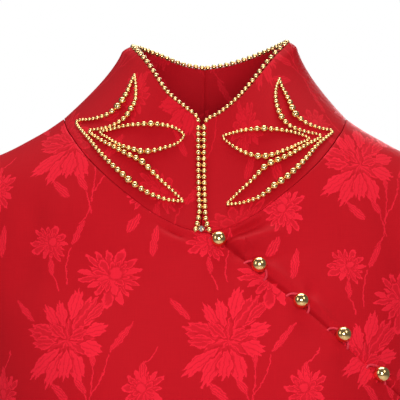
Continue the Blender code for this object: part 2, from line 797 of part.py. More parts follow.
def main():
    for old in list(bpy.data.objects):
        bpy.data.objects.remove(old)
    satin = material("red_satin", (0.55, 0.010, 0.022), 0.38, sheen=0.3)
    cord = material("red_cord", (0.50, 0.020, 0.035), 0.50)
    gold = material("gold", (0.83, 0.62, 0.28), 0.18, metallic=1.0)
    silver = material("silver", (0.75, 0.75, 0.72), 0.20, metallic=1.0)

    right_shares = neck_shares(-NECK_REACH, COLLAR_SPLIT)
    left_shares = neck_shares(PLACKET_START, NECK_REACH)
    front = front_panel_grid(right_shares, left_shares)
    first_column = SHOULDER_STEPS + len(right_shares)
    front_normals = outward(front)
    wall("front_panel", front, front_normals, CLOTH, satin)

    yoke = under_panel_grid(left_shares, front, first_column)
    yoke_normals = outward(yoke)
    yoke_normals[-2:] = front_normals[1:3, first_column:]
    yoke_normals[-3] = front_normals[0, first_column:]
    clear = np.linalg.norm(yoke - yoke[YOKE_STEPS], axis=-1)
    clear[YOKE_STEPS:] = 0
    sink = ease(1 - (clear - BUTTON_STAND) / SINK_REACH)[..., None] * (CLOTH + LAYER_GAP)
    yoke = yoke - yoke_normals * sink
    wall("under_panel", yoke, yoke_normals, CLOTH, satin)

    nape = seam_points(NECK_REACH, -NECK_REACH, nape_line, 1, 2 * NAPE_STEPS)
    back = back_panel_grid(nape)
    wall("back_panel", back, outward(back), CLOTH, satin)

    corner = seam_points(COLLAR_SPLIT, PLACKET_START, neck_line, -1, 1)
    for side, word in ((-1, "right"), (1, "left")):
        lines = collar_lines(side)
        if side > 0:
            seam = seam_points(PLACKET_START, NECK_REACH, neck_line, -1, NECK_STEPS)
            seam = np.concatenate([corner[:1], seam])
            behind = nape[: NAPE_STEPS + 1]
        else:
            seam = seam_points(-NECK_REACH, COLLAR_SPLIT, neck_line, -1, NECK_STEPS)[::-1]
            behind = nape[NAPE_STEPS:][::-1]
        _, turns = joined_base(seam, behind)
        grid = collar_grid(side, turns, lines)
        normals = outward(grid)
        normals[:, [0, -1], 0] = 0
        normals = unit(normals)
        wall(f"collar_{word}", grid, normals, COLLAR_CLOTH, satin)
        add_edge_string(f"edge_beads_{word}", grid, normals, gold)
        add_front_row(f"front_beads_{word}", side, lines, word, gold)
        outer, inner, middle = LEAVES[word]
        add_leaf_string(f"leaf_outer_{word}", side, lines, outer, 22, gold)
        add_leaf_string(f"leaf_inner_{word}", side, lines, inner, 20, gold)
        add_leaf_string(f"leaf_middle_{word}", side, lines, middle, 18, gold, closed=True)
        if side < 0:
            spot = collar_point(side, lines, 0.0, 0.035)
            facing = collar_normal(side, lines, 0.03, 0.035)
    height = STONE_RADIUS * 0.9
    dome = [(0, LAYER_GAP), (STONE_RADIUS * 0.9, LAYER_GAP), (STONE_RADIUS, height * 0.4)]
    dome += [(STONE_RADIUS * 0.7, height * 0.85), (0, height)]
    turned("hook_stone", dome, spot, facing, silver, sides=10)

    for k, (share, above, spread) in enumerate(zip(*BUTTONS.values())):
        edge, along, across = placket_frame(share, front, first_column)
        foot, up = on_cloth(yoke, edge + across * above)
        add_button(f"button_{k + 1}", foot, up, gold)
        add_loop(f"loop_{k + 1}", edge, along, across, foot, up, spread, cord)


main()
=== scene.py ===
"""The looks of a worn, sleeveless cheongsam dress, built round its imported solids.

Metres, +Z up. The front faces -Y, so the wearer's right side is at -X. The tables of the body, the collar,
the placket and the buttons are those of the solids. Those of the beads are finer ones, of this script's own.
"""

import math

import bmesh
import bpy
import numpy as np
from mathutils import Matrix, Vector
from mathutils.bvhtree import BVHTree

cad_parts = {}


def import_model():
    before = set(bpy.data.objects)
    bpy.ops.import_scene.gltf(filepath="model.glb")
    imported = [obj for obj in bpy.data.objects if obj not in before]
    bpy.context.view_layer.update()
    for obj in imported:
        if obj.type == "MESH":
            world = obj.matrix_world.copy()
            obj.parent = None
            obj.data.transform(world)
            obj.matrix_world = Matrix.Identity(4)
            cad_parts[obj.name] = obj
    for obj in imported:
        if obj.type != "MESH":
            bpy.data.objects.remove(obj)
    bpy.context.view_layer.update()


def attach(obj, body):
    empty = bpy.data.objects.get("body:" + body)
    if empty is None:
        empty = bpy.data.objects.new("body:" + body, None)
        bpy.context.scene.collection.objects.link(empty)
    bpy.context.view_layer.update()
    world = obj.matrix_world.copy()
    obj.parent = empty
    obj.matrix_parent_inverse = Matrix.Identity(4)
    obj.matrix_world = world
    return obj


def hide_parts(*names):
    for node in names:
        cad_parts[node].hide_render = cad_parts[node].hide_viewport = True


# Cloth and seams
CLOTH = 0.0015
COLLAR_CLOTH = 0.0020
SEAM_GAP = 0.0004
NECK_GAP = 0.0006
LAYER_GAP = 0.0004
SEWN_RIM = 0.0004
SEAM_RADIUS = 0.0007

# How deep the turnings lie at the neck and at the other seams, in thicknesses of cloth
NECK_SEAM_DEPTH = 1.1
SEAM_DEPTH = 0.6

# Heights of the figure, counted from the neck points
HEM = -1.120
SLIT_TOP = -0.800
SLIT_GAPE = 0.010
UNDERARM = -0.222

# The neck, the shoulder and the fastening
NECK_REACH = 0.1105
SHOULDER_DEPTH = 0.100
COLLAR_SPLIT = -0.003
PLACKET_START = 0.003
UNDERLAP = 0.026
BUTTON_STAND = 0.013
SINK_REACH = 0.030
ROUNDNESS = 2.3

# The bust, as one soft rise on each side of the centre
BUST_RISE = 0.016
BUST_REACH = 0.084
BUST_HEIGHT = -0.240
BUST_WIDTH = 0.062
BUST_TALL = 0.070

# The collar
COLLAR_HOLLOW = 0.0026
EAR_ROLL = 0.0037
EAR_SPREAD = 0.16
ROLL_RISE = 0.93
STONE_RISE = 0.035

# Buttons and their loops, which start under the placket's edge
BALL_RADIUS = 0.0060
SHANK_RADIUS = 0.0012
BALL_LIFT = 0.0084
CORD_RADIUS = 0.0009
LOOP_START = -0.0015
LOOP_CLEAR = 0.0008

# Beads are spaced by this many times their radii. Those of the leaves and of the front rows are then made
# larger, and a leaf's bead stands off the cloth by this share of its radius
BEAD_GAP = 1.08
LEAF_FILL = 1.06
FRONT_FILL = 1.02
LEAF_STAND = 0.92
THREAD_RADIUS = 0.00035

# The string along the collar's top edge: its start, the room left over, and the length over which its first
# beads lean aside
EDGE_START = 0.0015
EDGE_ROOM = 0.0039
EDGE_LEAN = 0.012

# The cloth by the placket's edge, which lifts a little
EDGE_LIFT = 0.0011
EDGE_LIFT_REACH = 0.016

# The yoke beside that edge has a groove and then a soft rise, placed and measured square to the edge
PUFF_HEIGHT = 0.0024
PUFF_PLACE = 0.0105
PUFF_WIDTH = 0.0045
GROOVE_DEPTH = 0.0030
GROOVE_PLACE = 0.0018
GROOVE_WIDTH = 0.0021

# Each button flattens the two by these shares, over this distance on each side of it
PUFF_HELD = 0.8
GROOVE_HELD = 0.9
HELD_WIDTH = 0.007

# The columns cross the edge at a slant: the distance square to it, as a share of that down a column
EDGE_SLANT = 0.77

# The view that the flat measures of the beadwork and placket are taken in
VIEW_DISTANCE = 2.4
VIEW_TILT = math.radians(6)
VIEW_CENTRE = np.array([-0.0039, 0.0, -0.063])
VIEW_ACROSS = 0.312

# Numbers of steps in the meshes
SHOULDER_STEPS = 22
NECK_STEPS = 44
NAPE_STEPS = 30
LAP_STEPS = 8
YOKE_STEPS = 44
YOKE_NEAR_STEPS = 18
CLOSE_ROWS = 52
WIDE_ROWS = 64
COLLAR_ROWS = 34
FINE = 400

# How wide the band of close rows beside the placket is, and what share of a long panel has close rows
YOKE_NEAR = 0.018
CLOSE_SHARE = 0.22

# The floor, 0.3 m under the hem
FLOOR = -1.42


def table(columns, *rows):
    """A table with named columns and a row for each section."""
    return dict(zip(columns.split(), np.array(rows, float).T))


TORSO = table(
    "height half_width front_depth back_depth",
    (-1.120, 0.184, 0.096, 0.100),
    (-0.860, 0.188, 0.106, 0.114),
    (-0.620, 0.187, 0.114, 0.138),
    (-0.500, 0.166, 0.110, 0.118),
    (-0.400, 0.142, 0.100, 0.098),
    (-0.320, 0.155, 0.104, 0.102),
    (-0.245, 0.1735, 0.112, 0.108),
    (-0.222, 0.1750, 0.110, 0.109),
    (-0.150, 0.1810, 0.096, 0.109),
    (-0.097, 0.1920, 0.080, 0.102),
    (0.000, 0.2050, 0.068, 0.078),
    (0.090, 0.2100, 0.060, 0.070),
)

RIDGE = table(
    "reach height",
    (0.000, 0.080),
    (0.050, 0.050),
    (0.082, 0.022),
    (0.1105, 0.0),
    (0.122, -0.008),
    (0.136, -0.016),
    (0.152, -0.0245),
    (0.170, -0.032),
    (0.187, -0.039),
)

ARMHOLE = table(
    "height reach",
    (-0.222, 0.1750),
    (-0.206, 0.1720),
    (-0.180, 0.1670),
    (-0.150, 0.1645),
    (-0.110, 0.1665),
    (-0.070, 0.1760),
    (-0.039, 0.1870),
)

NECK_FRONT = table(
    "reach height",
    (0.0000, -0.0970),
    (0.0195, -0.0915),
    (0.0410, -0.0800),
    (0.0580, -0.0670),
    (0.0780, -0.0495),
    (0.0905, -0.0360),
    (0.1020, -0.0195),
    (0.1080, -0.0085),
    (0.1105, 0.0000),
)
NAPE_RISE = 0.004

PLACKET = table(
    "reach height",
    (0.0030, -0.1005),
    (0.0138, -0.1071),
    (0.0245, -0.1140),
    (0.0360, -0.1250),
    (0.0626, -0.1459),
    (0.0907, -0.1700),
    (0.1215, -0.1990),
    (0.1384, -0.2132),
    (0.1750, -0.2430),
)

# The collar's top edge: how far it stands behind the shoulder seams, and the places of each half in the view.
# A turn of 0 is the front edge, 1 the ear over the shoulder seam and 2 the centre back
TOP_EDGE = table(
    "turn depth right_across right_up left_across left_up",
    (0.000, -0.0520, -0.0030, -0.0070, -0.0030, -0.0070),
    (0.030, -0.0519, -0.0043, -0.0027, -0.0012, -0.0035),
    (0.070, -0.0517, -0.0070, 0.0012, 0.0020, -0.0010),
    (0.158, -0.0510, -0.0156, 0.0083, 0.0098, 0.0029),
    (0.325, -0.0475, -0.0304, 0.0205, 0.0246, 0.0144),
    (0.498, -0.0415, -0.0395, 0.0333, 0.0343, 0.0245),
    (0.640, -0.0345, -0.0464, 0.0432, 0.0425, 0.0343),
    (0.767, -0.0255, -0.0519, 0.0497, 0.0507, 0.0445),
    (0.880, -0.0140, -0.0558, 0.0538, 0.0581, 0.0526),
    (1.000, 0.0000, -0.0581, 0.0563, 0.0653, 0.0594),
    (1.187, 0.0180, -0.0548, 0.0553, 0.0617, 0.0576),
    (1.397, 0.0360, -0.0470, 0.0528, 0.0524, 0.0534),
    (1.610, 0.0500, -0.0337, 0.0479, 0.0371, 0.0473),
    (1.813, 0.0580, -0.0170, 0.0414, 0.0185, 0.0414),
    (2.000, 0.0605, 0.0000, 0.0384, 0.0000, 0.0384),
)

# Beadwork, measured flat in the view: across and up from the origin, and each bead's radius there
OUTER_RIGHT = table(
    "across up radius",
    (-0.0545, 0.0335, 0.0014),
    (-0.0570, 0.0280, 0.0016),
    (-0.0595, 0.0213, 0.0020),
    (-0.0620, 0.0160, 0.0025),
    (-0.0661, 0.0097, 0.0030),
    (-0.0721, 0.0045, 0.0023),
    (-0.0775, 0.0017, 0.0019),
    (-0.0880, -0.0010, 0.0015),
    (-0.0998, -0.0031, 0.0013),
    (-0.0900, -0.0163, 0.0017),
    (-0.0819, -0.0265, 0.0019),
    (-0.0730, -0.0360, 0.0022),
    (-0.0647, -0.0437, 0.0026),
    (-0.0593, -0.0491, 0.0031),
    (-0.0530, -0.0535, 0.0026),
    (-0.0429, -0.0593, 0.0022),
    (-0.0300, -0.0635, 0.0017),
    (-0.0179, -0.0647, 0.0014),
)
INNER_RIGHT = table(
    "across up radius",
    (-0.0541, 0.0320, 0.0013),
    (-0.0534, 0.0226, 0.0016),
    (-0.0541, 0.0130, 0.0020),
    (-0.0579, 0.0060, 0.0025),
    (-0.0623, -0.0001, 0.0021),
    (-0.0718, -0.0059, 0.0017),
    (-0.0819, -0.0085, 0.0014),
    (-0.0901, -0.0101, 0.0014),
    (-0.0820, -0.0165, 0.0017),
    (-0.0710, -0.0226, 0.0020),
    (-0.0600, -0.0287, 0.0023),
    (-0.0530, -0.0320, 0.0026),
    (-0.0476, -0.0359, 0.0030),
    (-0.0421, -0.0413, 0.0024),
    (-0.0350, -0.0480, 0.0019),
    (-0.0260, -0.0560, 0.0016),
    (-0.0185, -0.0630, 0.0013),
)
MIDDLE_RIGHT = table(
    "across up radius",
    (-0.0814, -0.0109, 0.0012),
    (-0.0720, -0.0086, 0.0015),
    (-0.0616, -0.0059, 0.0017),
    (-0.0500, -0.0049, 0.0020),
    (-0.0429, -0.0047, 0.0027),
    (-0.0360, -0.0049, 0.0020),
    (-0.0273, -0.0062, 0.0017),
    (-0.0210, -0.0088, 0.0014),
    (-0.0164, -0.0132, 0.0012),
    (-0.0220, -0.0195, 0.0014),
    (-0.0304, -0.0226, 0.0018),
    (-0.0400, -0.0254, 0.0022),
    (-0.0484, -0.0265, 0.0028),
    (-0.0560, -0.0245, 0.0022),
    (-0.0663, -0.0211, 0.0018),
    (-0.0745, -0.0160, 0.0014),
)
OUTER_LEFT = table(
    "across up radius",
    (0.0577, 0.0304, 0.0014),
    (0.0598, 0.0240, 0.0016),
    (0.0624, 0.0187, 0.0019),
    (0.0660, 0.0105, 0.0025),
    (0.0690, 0.0031, 0.0030),
    (0.0740, -0.0012, 0.0023),
    (0.0796, -0.0047, 0.0019),
    (0.0900, -0.0082, 0.0015),
    (0.0991, -0.0101, 0.0013),
    (0.0930, -0.0160, 0.0016),
    (0.0866, -0.0218, 0.0018),
    (0.0800, -0.0300, 0.0021),
    (0.0725, -0.0382, 0.0025),
    (0.0624, -0.0476, 0.0029),
    (0.0562, -0.0515, 0.0030),
    (0.0480, -0.0580, 0.0023),
    (0.0406, -0.0624, 0.0019),
    (0.0290, -0.0660, 0.0015),
    (0.0179, -0.0671, 0.0013),
)
INNER_LEFT = table(
    "across up radius",
    (0.0570, 0.0290, 0.0013),
    (0.0550, 0.0230, 0.0015),
    (0.0546, 0.0164, 0.0018),
    (0.0560, 0.0080, 0.0022),
    (0.0593, 0.0000, 0.0026),
    (0.0640, -0.0048, 0.0021),
    (0.0686, -0.0078, 0.0019),
    (0.0790, -0.0110, 0.0015),
    (0.0902, -0.0140, 0.0013),
    (0.0788, -0.0211, 0.0018),
    (0.0690, -0.0270, 0.0021),
    (0.0593, -0.0320, 0.0025),
    (0.0491, -0.0367, 0.0030),
    (0.0420, -0.0430, 0.0023),
    (0.0359, -0.0491, 0.0019),
    (0.0260, -0.0580, 0.0015),
    (0.0182, -0.0655, 0.0013),
)
MIDDLE_LEFT = table(
    "across up radius",
    (0.0809, -0.0156, 0.0012),
    (0.0700, -0.0115, 0.0015),
    (0.0593, -0.0094, 0.0018),
    (0.0520, -0.0088, 0.0021),
    (0.0452, -0.0086, 0.0028),
    (0.0380, -0.0087, 0.0021),
    (0.0296, -0.0094, 0.0017),
    (0.0210, -0.0115, 0.0014),
    (0.0140, -0.0140, 0.0012),
    (0.0190, -0.0195, 0.0014),
    (0.0273, -0.0250, 0.0018),
    (0.0360, -0.0287, 0.0022),
    (0.0437, -0.0304, 0.0029),
    (0.0520, -0.0290, 0.0023),
    (0.0655, -0.0238, 0.0018),
    (0.0740, -0.0195, 0.0014),
)

LEAVES = {
    "right": (OUTER_RIGHT, INNER_RIGHT, MIDDLE_RIGHT),
    "left": (OUTER_LEFT, INNER_LEFT, MIDDLE_LEFT),
}

# The two bead rows that close the collar, by height in the view: how far each lies from the split
FRONT_ROWS = table(
    "up right left",
    (-0.0875, 0.0044, 0.0064),
    (-0.0800, 0.0026, 0.0040),
    (-0.0720, 0.0016, 0.0034),
    (-0.0600, 0.0022, 0.0030),
    (-0.0400, 0.0026, 0.0027),
    (-0.0078, 0.0027, 0.0026),
)
FRONT_BEAD_RADIUS = 0.0022

# The beads along the collar's top edge, small in front: the gap widens their spacing, and the lift is how far
# each one's middle stands above the edge, in radii
EDGE_BEADS = table(
    "turn radius gap lift",
    (0.00, 0.0021, 1.00, 0.70),
    (0.15, 0.0019, 1.00, 0.70),
    (0.45, 0.0020, 1.08, 0.75),
    (0.70, 0.0022, 1.30, 0.80),
    (0.92, 0.0024, 1.65, 0.80),
    (1.08, 0.0024, 1.30, 0.70),
    (1.40, 0.0023, 1.06, 0.48),
    (2.00, 0.0023, 1.04, 0.48),
)

# Buttons, by their share of the way along the placket, how far above its edge each is sewn, and how
# far each end of its loop is from the middle
BUTTONS = table(
    "share above spread",
    (0.033, 0.0034, 0.0055),
    (0.170, 0.0052, 0.0100),
    (0.315, 0.0036, 0.0100),
    (0.456, 0.0036, 0.0100),
    (0.600, 0.0036, 0.0100),
)

# Creases of the cloth: from one place to another, how wide and how high (troughs are below nought)
FRONT_CREASES = table(
    "across up across_end up_end width height",
    (0.010, -0.105, 0.048, -0.088, 0.0045, -0.0036),
    (0.014, -0.110, 0.060, -0.094, 0.0050, 0.0030),
    (0.014, -0.113, 0.044, -0.112, 0.0050, -0.0036),
    (0.030, -0.118, 0.078, -0.110, 0.0060, -0.0016),
    (-0.012, -0.100, -0.036, -0.086, 0.0030, -0.0032),
    (-0.010, -0.104, -0.050, -0.098, 0.0060, 0.0010),
    (-0.020, -0.120, -0.120, -0.060, 0.0180, 0.0016),
    (-0.060, -0.150, -0.165, -0.110, 0.0160, -0.0016),
    (-0.130, -0.060, -0.150, -0.160, 0.0110, -0.0018),
    (0.130, -0.060, 0.150, -0.160, 0.0110, -0.0016),
    (0.045, -0.125, 0.049, -0.108, 0.0040, -0.0018),
    (0.078, -0.153, 0.082, -0.134, 0.0042, -0.0020),
    (0.108, -0.182, 0.110, -0.163, 0.0042, -0.0018),
    (0.137, -0.210, 0.141, -0.192, 0.0042, -0.0018),
    (0.080, -0.250, 0.020, -0.330, 0.0200, -0.0022),
    (-0.080, -0.250, -0.030, -0.330, 0.0200, -0.0022),
    (0.150, -0.270, 0.095, -0.300, 0.0090, -0.0022),
    (-0.150, -0.270, -0.090, -0.306, 0.0090, -0.0022),
    (0.138, -0.385, 0.030, -0.405, 0.0100, -0.0024),
    (-0.138, -0.392, -0.040, -0.412, 0.0110, -0.0026),
    (0.130, -0.425, 0.060, -0.440, 0.0090, -0.0018),
    (-0.128, -0.432, -0.020, -0.452, 0.0100, -0.0020),
    (0.060, -0.420, 0.085, -0.640, 0.0180, 0.0022),
    (-0.055, -0.430, -0.088, -0.660, 0.0200, 0.0024),
    (0.150, -0.560, 0.040, -0.700, 0.0200, -0.0026),
    (-0.150, -0.580, -0.040, -0.730, 0.0220, -0.0028),
    (0.020, -0.640, 0.030, -1.080, 0.0260, 0.0030),
    (-0.050, -0.700, -0.066, -1.115, 0.0240, 0.0034),
    (0.095, -0.720, 0.112, -1.115, 0.0240, 0.0034),
    (-0.125, -0.760, -0.140, -1.115, 0.0180, 0.0030),
)
BACK_CREASES = table(
    "across up across_end up_end width height",
    (-0.090, -0.020, -0.030, -0.100, 0.0160, 0.0018),
    (0.088, -0.022, 0.032, -0.108, 0.0170, 0.0016),
    (-0.150, -0.070, -0.070, -0.180, 0.0160, -0.0024),
    (0.150, -0.080, 0.064, -0.190, 0.0170, -0.0022),
    (-0.155, -0.250, -0.060, -0.300, 0.0110, -0.0024),
    (0.152, -0.262, 0.070, -0.306, 0.0100, -0.0022),
    (-0.138, -0.370, -0.010, -0.398, 0.0110, -0.0034),
    (0.138, -0.378, 0.020, -0.392, 0.0100, -0.0028),
    (-0.120, -0.410, 0.030, -0.428, 0.0110, -0.0030),
    (0.130, -0.430, 0.030, -0.452, 0.0100, -0.0026),
    (-0.070, -0.440, -0.088, -0.580, 0.0160, 0.0024),
    (0.072, -0.450, 0.086, -0.570, 0.0170, 0.0022),
    (-0.120, -0.660, -0.030, -0.760, 0.0220, -0.0030),
    (0.118, -0.650, 0.036, -0.745, 0.0200, -0.0028),
    (0.008, -0.700, 0.016, -1.110, 0.0270, 0.0036),
    (-0.080, -0.740, -0.090, -1.115, 0.0240, 0.0034),
    (0.098, -0.720, 0.110, -1.115, 0.0240, 0.0036),
    (-0.150, -0.780, -0.152, -1.115, 0.0160, 0.0026),
)

# The creases fade out over this distance from the top, and this share of the width from each side
CREASE_FADE = 0.007
SIDE_FADE = 0.05

# Each crease bows aside by this share of its length. Beside it lies a shallower one the other way, this many
# widths away and this share of its height
CREASE_BOW = 0.06
BESIDE_PLACE = 1.7
BESIDE_SHARE = 0.35

# The flat cloth's upward measure starts at this height. The numbers of points are across and up
FLAT_START = -0.16
FLAT_POINTS = (28, 40)

# The woven pattern: one repeat of the cloth, in metres across and up
REPEAT = (0.121, 0.162)
YOKE_SHIFT = (0.0153, 0.0180)
COLLAR_SHIFT = (0.031, 0.040)
BLOOMS = table(
    "across up radius petals turn solid",
    (-0.0706, -0.1280, 0.0280, 17, 0.3, 0.35),
    (-0.1188, -0.1015, 0.0175, 14, 0.0, 0.15),
    (-0.0456, -0.2193, 0.0200, 15, 2.0, 0.35),
)
LILY_PLACE = (-0.1039, -0.1794)
LILY_RADIUS = 0.0235
LILY_PETALS = table(
    "bearing start length width solid",
    (57, 0.004, 0.038, 0.0185, 0.0),
    (46, 0.016, 0.027, 0.0085, 0.0),
    (79, 0.014, 0.029, 0.0125, 1.0),
    (123, 0.009, 0.025, 0.0100, 1.0),
    (103, 0.009, 0.024, 0.0095, 1.0),
    (20, 0.012, 0.021, 0.0125, 1.0),
    (-19, 0.008, 0.021, 0.0140, 1.0),
    (163, 0.005, 0.030, 0.0165, 0.0),
    (182, 0.008, 0.022, 0.0120, 0.0),
    (-141, 0.006, 0.038, 0.0125, 1.0),
    (-119, 0.007, 0.034, 0.0120, 1.0),
    (-72, 0.005, 0.029, 0.0150, 1.0),
    (-97, 0.005, 0.026, 0.0130, 1.0),
    (138, 0.001, 0.019, 0.0105, 0.0),
    (28, 0.001, 0.016, 0.0110, 0.0),
)
BUDS = table(
    "across up length width turn",
    (-0.0960, -0.0929, 0.0230, 0.0068, -0.48),
    (-0.1401, -0.1546, 0.0236, 0.0064, 0.73),
    (-0.0622, -0.1770, 0.0310, 0.0066, -0.64),
    (-0.1178, -0.1195, 0.0150, 0.0060, 0.12),
    (-0.0942, -0.2146, 0.0160, 0.0075, 0.57),
    (-0.1114, -0.2194, 0.0210, 0.0085, 0.78),
    (-0.0841, -0.1941, 0.0140, 0.0052, 0.05),
    (-0.0465, -0.2040, 0.0160, 0.0080, -0.10),
    (-0.0539, -0.0853, 0.0180, 0.0090, -0.60),
    (-0.0380, -0.0994, 0.0260, 0.0080, -0.15),
)
STEMS = table(
    "across up across_end up_end bend",
    (-0.1021, -0.1043, -0.1048, -0.1338, -0.0020),
    (-0.1165, -0.1270, -0.1116, -0.1400, 0.0005),
    (-0.0720, -0.1905, -0.0854, -0.2230, 0.0025),
    (-0.0841, -0.2000, -0.0868, -0.2300, 0.0010),
    (-0.0905, -0.2215, -0.0860, -0.2400, 0.0005),
    (-0.0460, -0.1985, -0.0353, -0.1850, -0.0015),
    (-0.0870, -0.2350, -0.0960, -0.2480, 0.0015),
)

# The satin's colours on the ground and in the flowers, the sway of the woven outlines, and the fineness of
# the threads across and along themselves. The flowers' brighter colour is partly the woven pattern and partly
# painted sheen of their satin threads
OUTER_COLOURS = ((0.550, 0.0078, 0.0150), (0.970, 0.0205, 0.0445))
# The collar is the same satin as the dress, painted darker in its ground and flowers: painted shade
COLLAR_SHADED_COLOURS = ((0.500, 0.0070, 0.0132), (0.740, 0.0125, 0.0260))
SWAY = 0.0050
SWAY_SCALE = 230.0
THREADS_ACROSS = 2600.0
THREADS_ALONG = 60.0


def read(rows, along, column, at):
    """Reads a smooth curve through one column of a table at places along another."""
    places, values = rows[along], rows[column]
    slopes = np.gradient(values, places)
    at = np.clip(at, places[0], places[-1])
    i = np.clip(np.searchsorted(places, at) - 1, 0, len(places) - 2)
    span = places[i + 1] - places[i]
    t = (at - places[i]) / span
    start = (2 * t**3 - 3 * t**2 + 1) * values[i] + (t**3 - 2 * t**2 + t) * span * slopes[i]
    end = (3 * t**2 - 2 * t**3) * values[i + 1] + (t**3 - t**2) * span * slopes[i + 1]
    return start + end


def ease(t):
    t = np.clip(t, 0, 1)
    return t * t * (3 - 2 * t)


def hump(places, middle, width):
    """A smooth rise to 1 at the middle, nearly gone at twice the width from it."""
    return np.exp(-(((places - middle) / width) ** 2))


def unit(vectors):
    return vectors / np.linalg.norm(vectors, axis=-1, keepdims=True)


# The body of the dress: every point of its outside comes from a height and a share of the way round


def edge_reach(z):
    """Half a panel's width: to the armhole above the underarm, to the side seam below it."""
    half_width = read(TORSO, "height", "half_width", z)
    return np.where(z > UNDERARM, np.minimum(half_width, read(ARMHOLE, "height", "reach", z)), half_width)


def body_depth(x, z, facing):
    """How far the dress stands in front of (facing -1) or behind (facing 1) the side seams."""
    column = "front_depth" if facing < 0 else "back_depth"
    half_width = read(TORSO, "height", "half_width", z)
    around = np.clip(1 - (np.abs(x) / half_width) ** ROUNDNESS, 0, 1) ** (1 / ROUNDNESS)
    depth = read(TORSO, "height", column, z) * around
    if facing < 0:
        bust = hump(np.abs(x), BUST_REACH, BUST_WIDTH) * hump(z, BUST_HEIGHT, BUST_TALL)
        depth = depth + BUST_RISE * bust * around
    ridge = read(RIDGE, "reach", "height", np.abs(x))
    climb = np.clip(1 - (ridge - z) / SHOULDER_DEPTH, 0, 1)
    return depth * np.sqrt(1 - climb**2)


def body_point(x, z, facing):
    apart = SEAM_GAP + SLIT_GAPE * ease((SLIT_TOP - z) / (SLIT_TOP - HEM))
    y = facing * (apart + body_depth(x, z, facing))
    return np.stack(np.broadcast_arrays(x, y, z), axis=-1)


def column_point(share, z, facing):
    """A point of the column that is this share of the way from the centre to the panel's edge."""
    return body_point(edge_reach(z) * np.sin(share * math.pi / 2), z, facing)


def share_of(x, z):
    return math.asin(float(np.clip(x / edge_reach(z), -1, 1))) * 2 / math.pi


def meeting_height(share, line):
    """The height where a column meets a line given as a height for each x."""
    low, high = HEM, 0.088
    for _ in range(40):
        z = (low + high) / 2
        x = edge_reach(z) * math.sin(share * math.pi / 2)
        low, high = (low, z) if z > line(x) else (z, high)
    return (low + high) / 2


def ridge_line(x):
    return read(RIDGE, "reach", "height", abs(x))


def neck_line(x):
    return read(NECK_FRONT, "reach", "height", abs(x))


def nape_line(x):
    return NAPE_RISE * (1 - (x / NECK_REACH) ** 2)


def placket_line(x):
    return read(PLACKET, "reach", "height", x)


def walk(points):
    """The distance covered at each point of a line."""
    steps = np.linalg.norm(np.diff(points, axis=0), axis=1)
    return np.concatenate([[0], np.cumsum(steps)])


def at_distances(points, distances):
    covered = walk(points)
    return np.stack([np.interp(distances, covered, points[:, i]) for i in range(3)], axis=1)


def seam_points(start, end, line, facing, steps):
    """Points evenly spaced along the neck seam between two values of x."""
    angle = np.linspace(math.asin(start / NECK_REACH), math.asin(end / NECK_REACH), FINE)
    x = NECK_REACH * np.sin(angle)
    points = body_point(x, line(x), facing)
    points[np.abs(points[:, 2]) < 1e-6, 1] = facing * SEAM_GAP
    return at_distances(points, np.linspace(0, walk(points)[-1], steps + 1))


def column_rows(share, top, bottom, facing, distances):
    """Points down one column, each at its distance from the top."""
    fall = np.linspace(0, 1, FINE) ** 2
    points = column_point(share, top + (bottom - top) * fall, facing)
    length = walk(points)[-1]
    return at_distances(points, distances(length))


def skirt_distances(length):
    """Close rows over the underlap, then rows 4 mm apart to below the bust and 12 mm apart to the hem."""
    lap = np.linspace(0, UNDERLAP, LAP_STEPS + 1)
    close = np.linspace(0, CLOSE_SHARE, CLOSE_ROWS)
    below = np.concatenate([close, np.linspace(CLOSE_SHARE, 1, WIDE_ROWS)[1:]])
    return np.concatenate([lap[:-1], UNDERLAP + (length - UNDERLAP) * below])


def yoke_distances(length):
    """Even rows, then close ones near the placket's edge."""
    even_length = length - min(YOKE_NEAR, 0.6 * length)
    even = np.linspace(0, even_length, YOKE_STEPS - YOKE_NEAR_STEPS + 1)
    close = np.linspace(even_length, length, YOKE_NEAR_STEPS + 1)
    return np.concatenate([even, close[1:]])


def outward(grid):
    """Normals of a grid of points, facing away from the dress's upright axis."""
    down = np.gradient(grid, axis=0, edge_order=2)
    across = np.gradient(grid, axis=1)
    normals = unit(np.cross(down, across))
    away = grid * np.array([1, 1, 0])
    if np.sum(normals * away) < 0:
        normals = -normals
    on_seam = np.abs(grid[..., 1]) < SEAM_GAP * 1.5
    normals[on_seam, 1] = 0
    return unit(normals)


def neck_shares(start, end):
    """The columns that start from the front neck seam, between two values of x."""
    return [share_of(x, z) for x, _, z in seam_points(start, end, neck_line, -1, NECK_STEPS)]


def shoulder_shares(neck_share):
    return [neck_share + (1 - neck_share) * k / SHOULDER_STEPS for k in range(1, SHOULDER_STEPS + 1)]


def front_panel_grid(right_shares, left_shares):
    columns = [-s for s in reversed(shoulder_shares(-right_shares[0]))]
    tops = [meeting_height(s, ridge_line) for s in columns]
    for share in right_shares + left_shares[:1]:
        columns.append(share)
        tops.append(meeting_height(share, neck_line))
    for share in left_shares[1:] + shoulder_shares(left_shares[-1]):
        columns.append(share)
        tops.append(meeting_height(share, placket_line))
    rows = [column_rows(s, top, HEM, -1, skirt_distances) for s, top in zip(columns, tops)]
    return np.stack(rows, axis=1)


def under_panel_grid(left_shares, front, first_column):
    """The yoke that carries the buttons. Past the placket it takes the front panel's own points."""
    columns = []
    for k, share in enumerate(left_shares + shoulder_shares(left_shares[-1])):
        line = neck_line if k < len(left_shares) else ridge_line
        top = meeting_height(share, line)
        lap = front[: LAP_STEPS + 1, first_column + k]
        bottom = min(lap[0, 2], top - 0.002)
        above = column_rows(share, top, bottom, -1, yoke_distances)
        columns.append(np.concatenate([above, lap[1:]]))
    return np.stack(columns, axis=1)


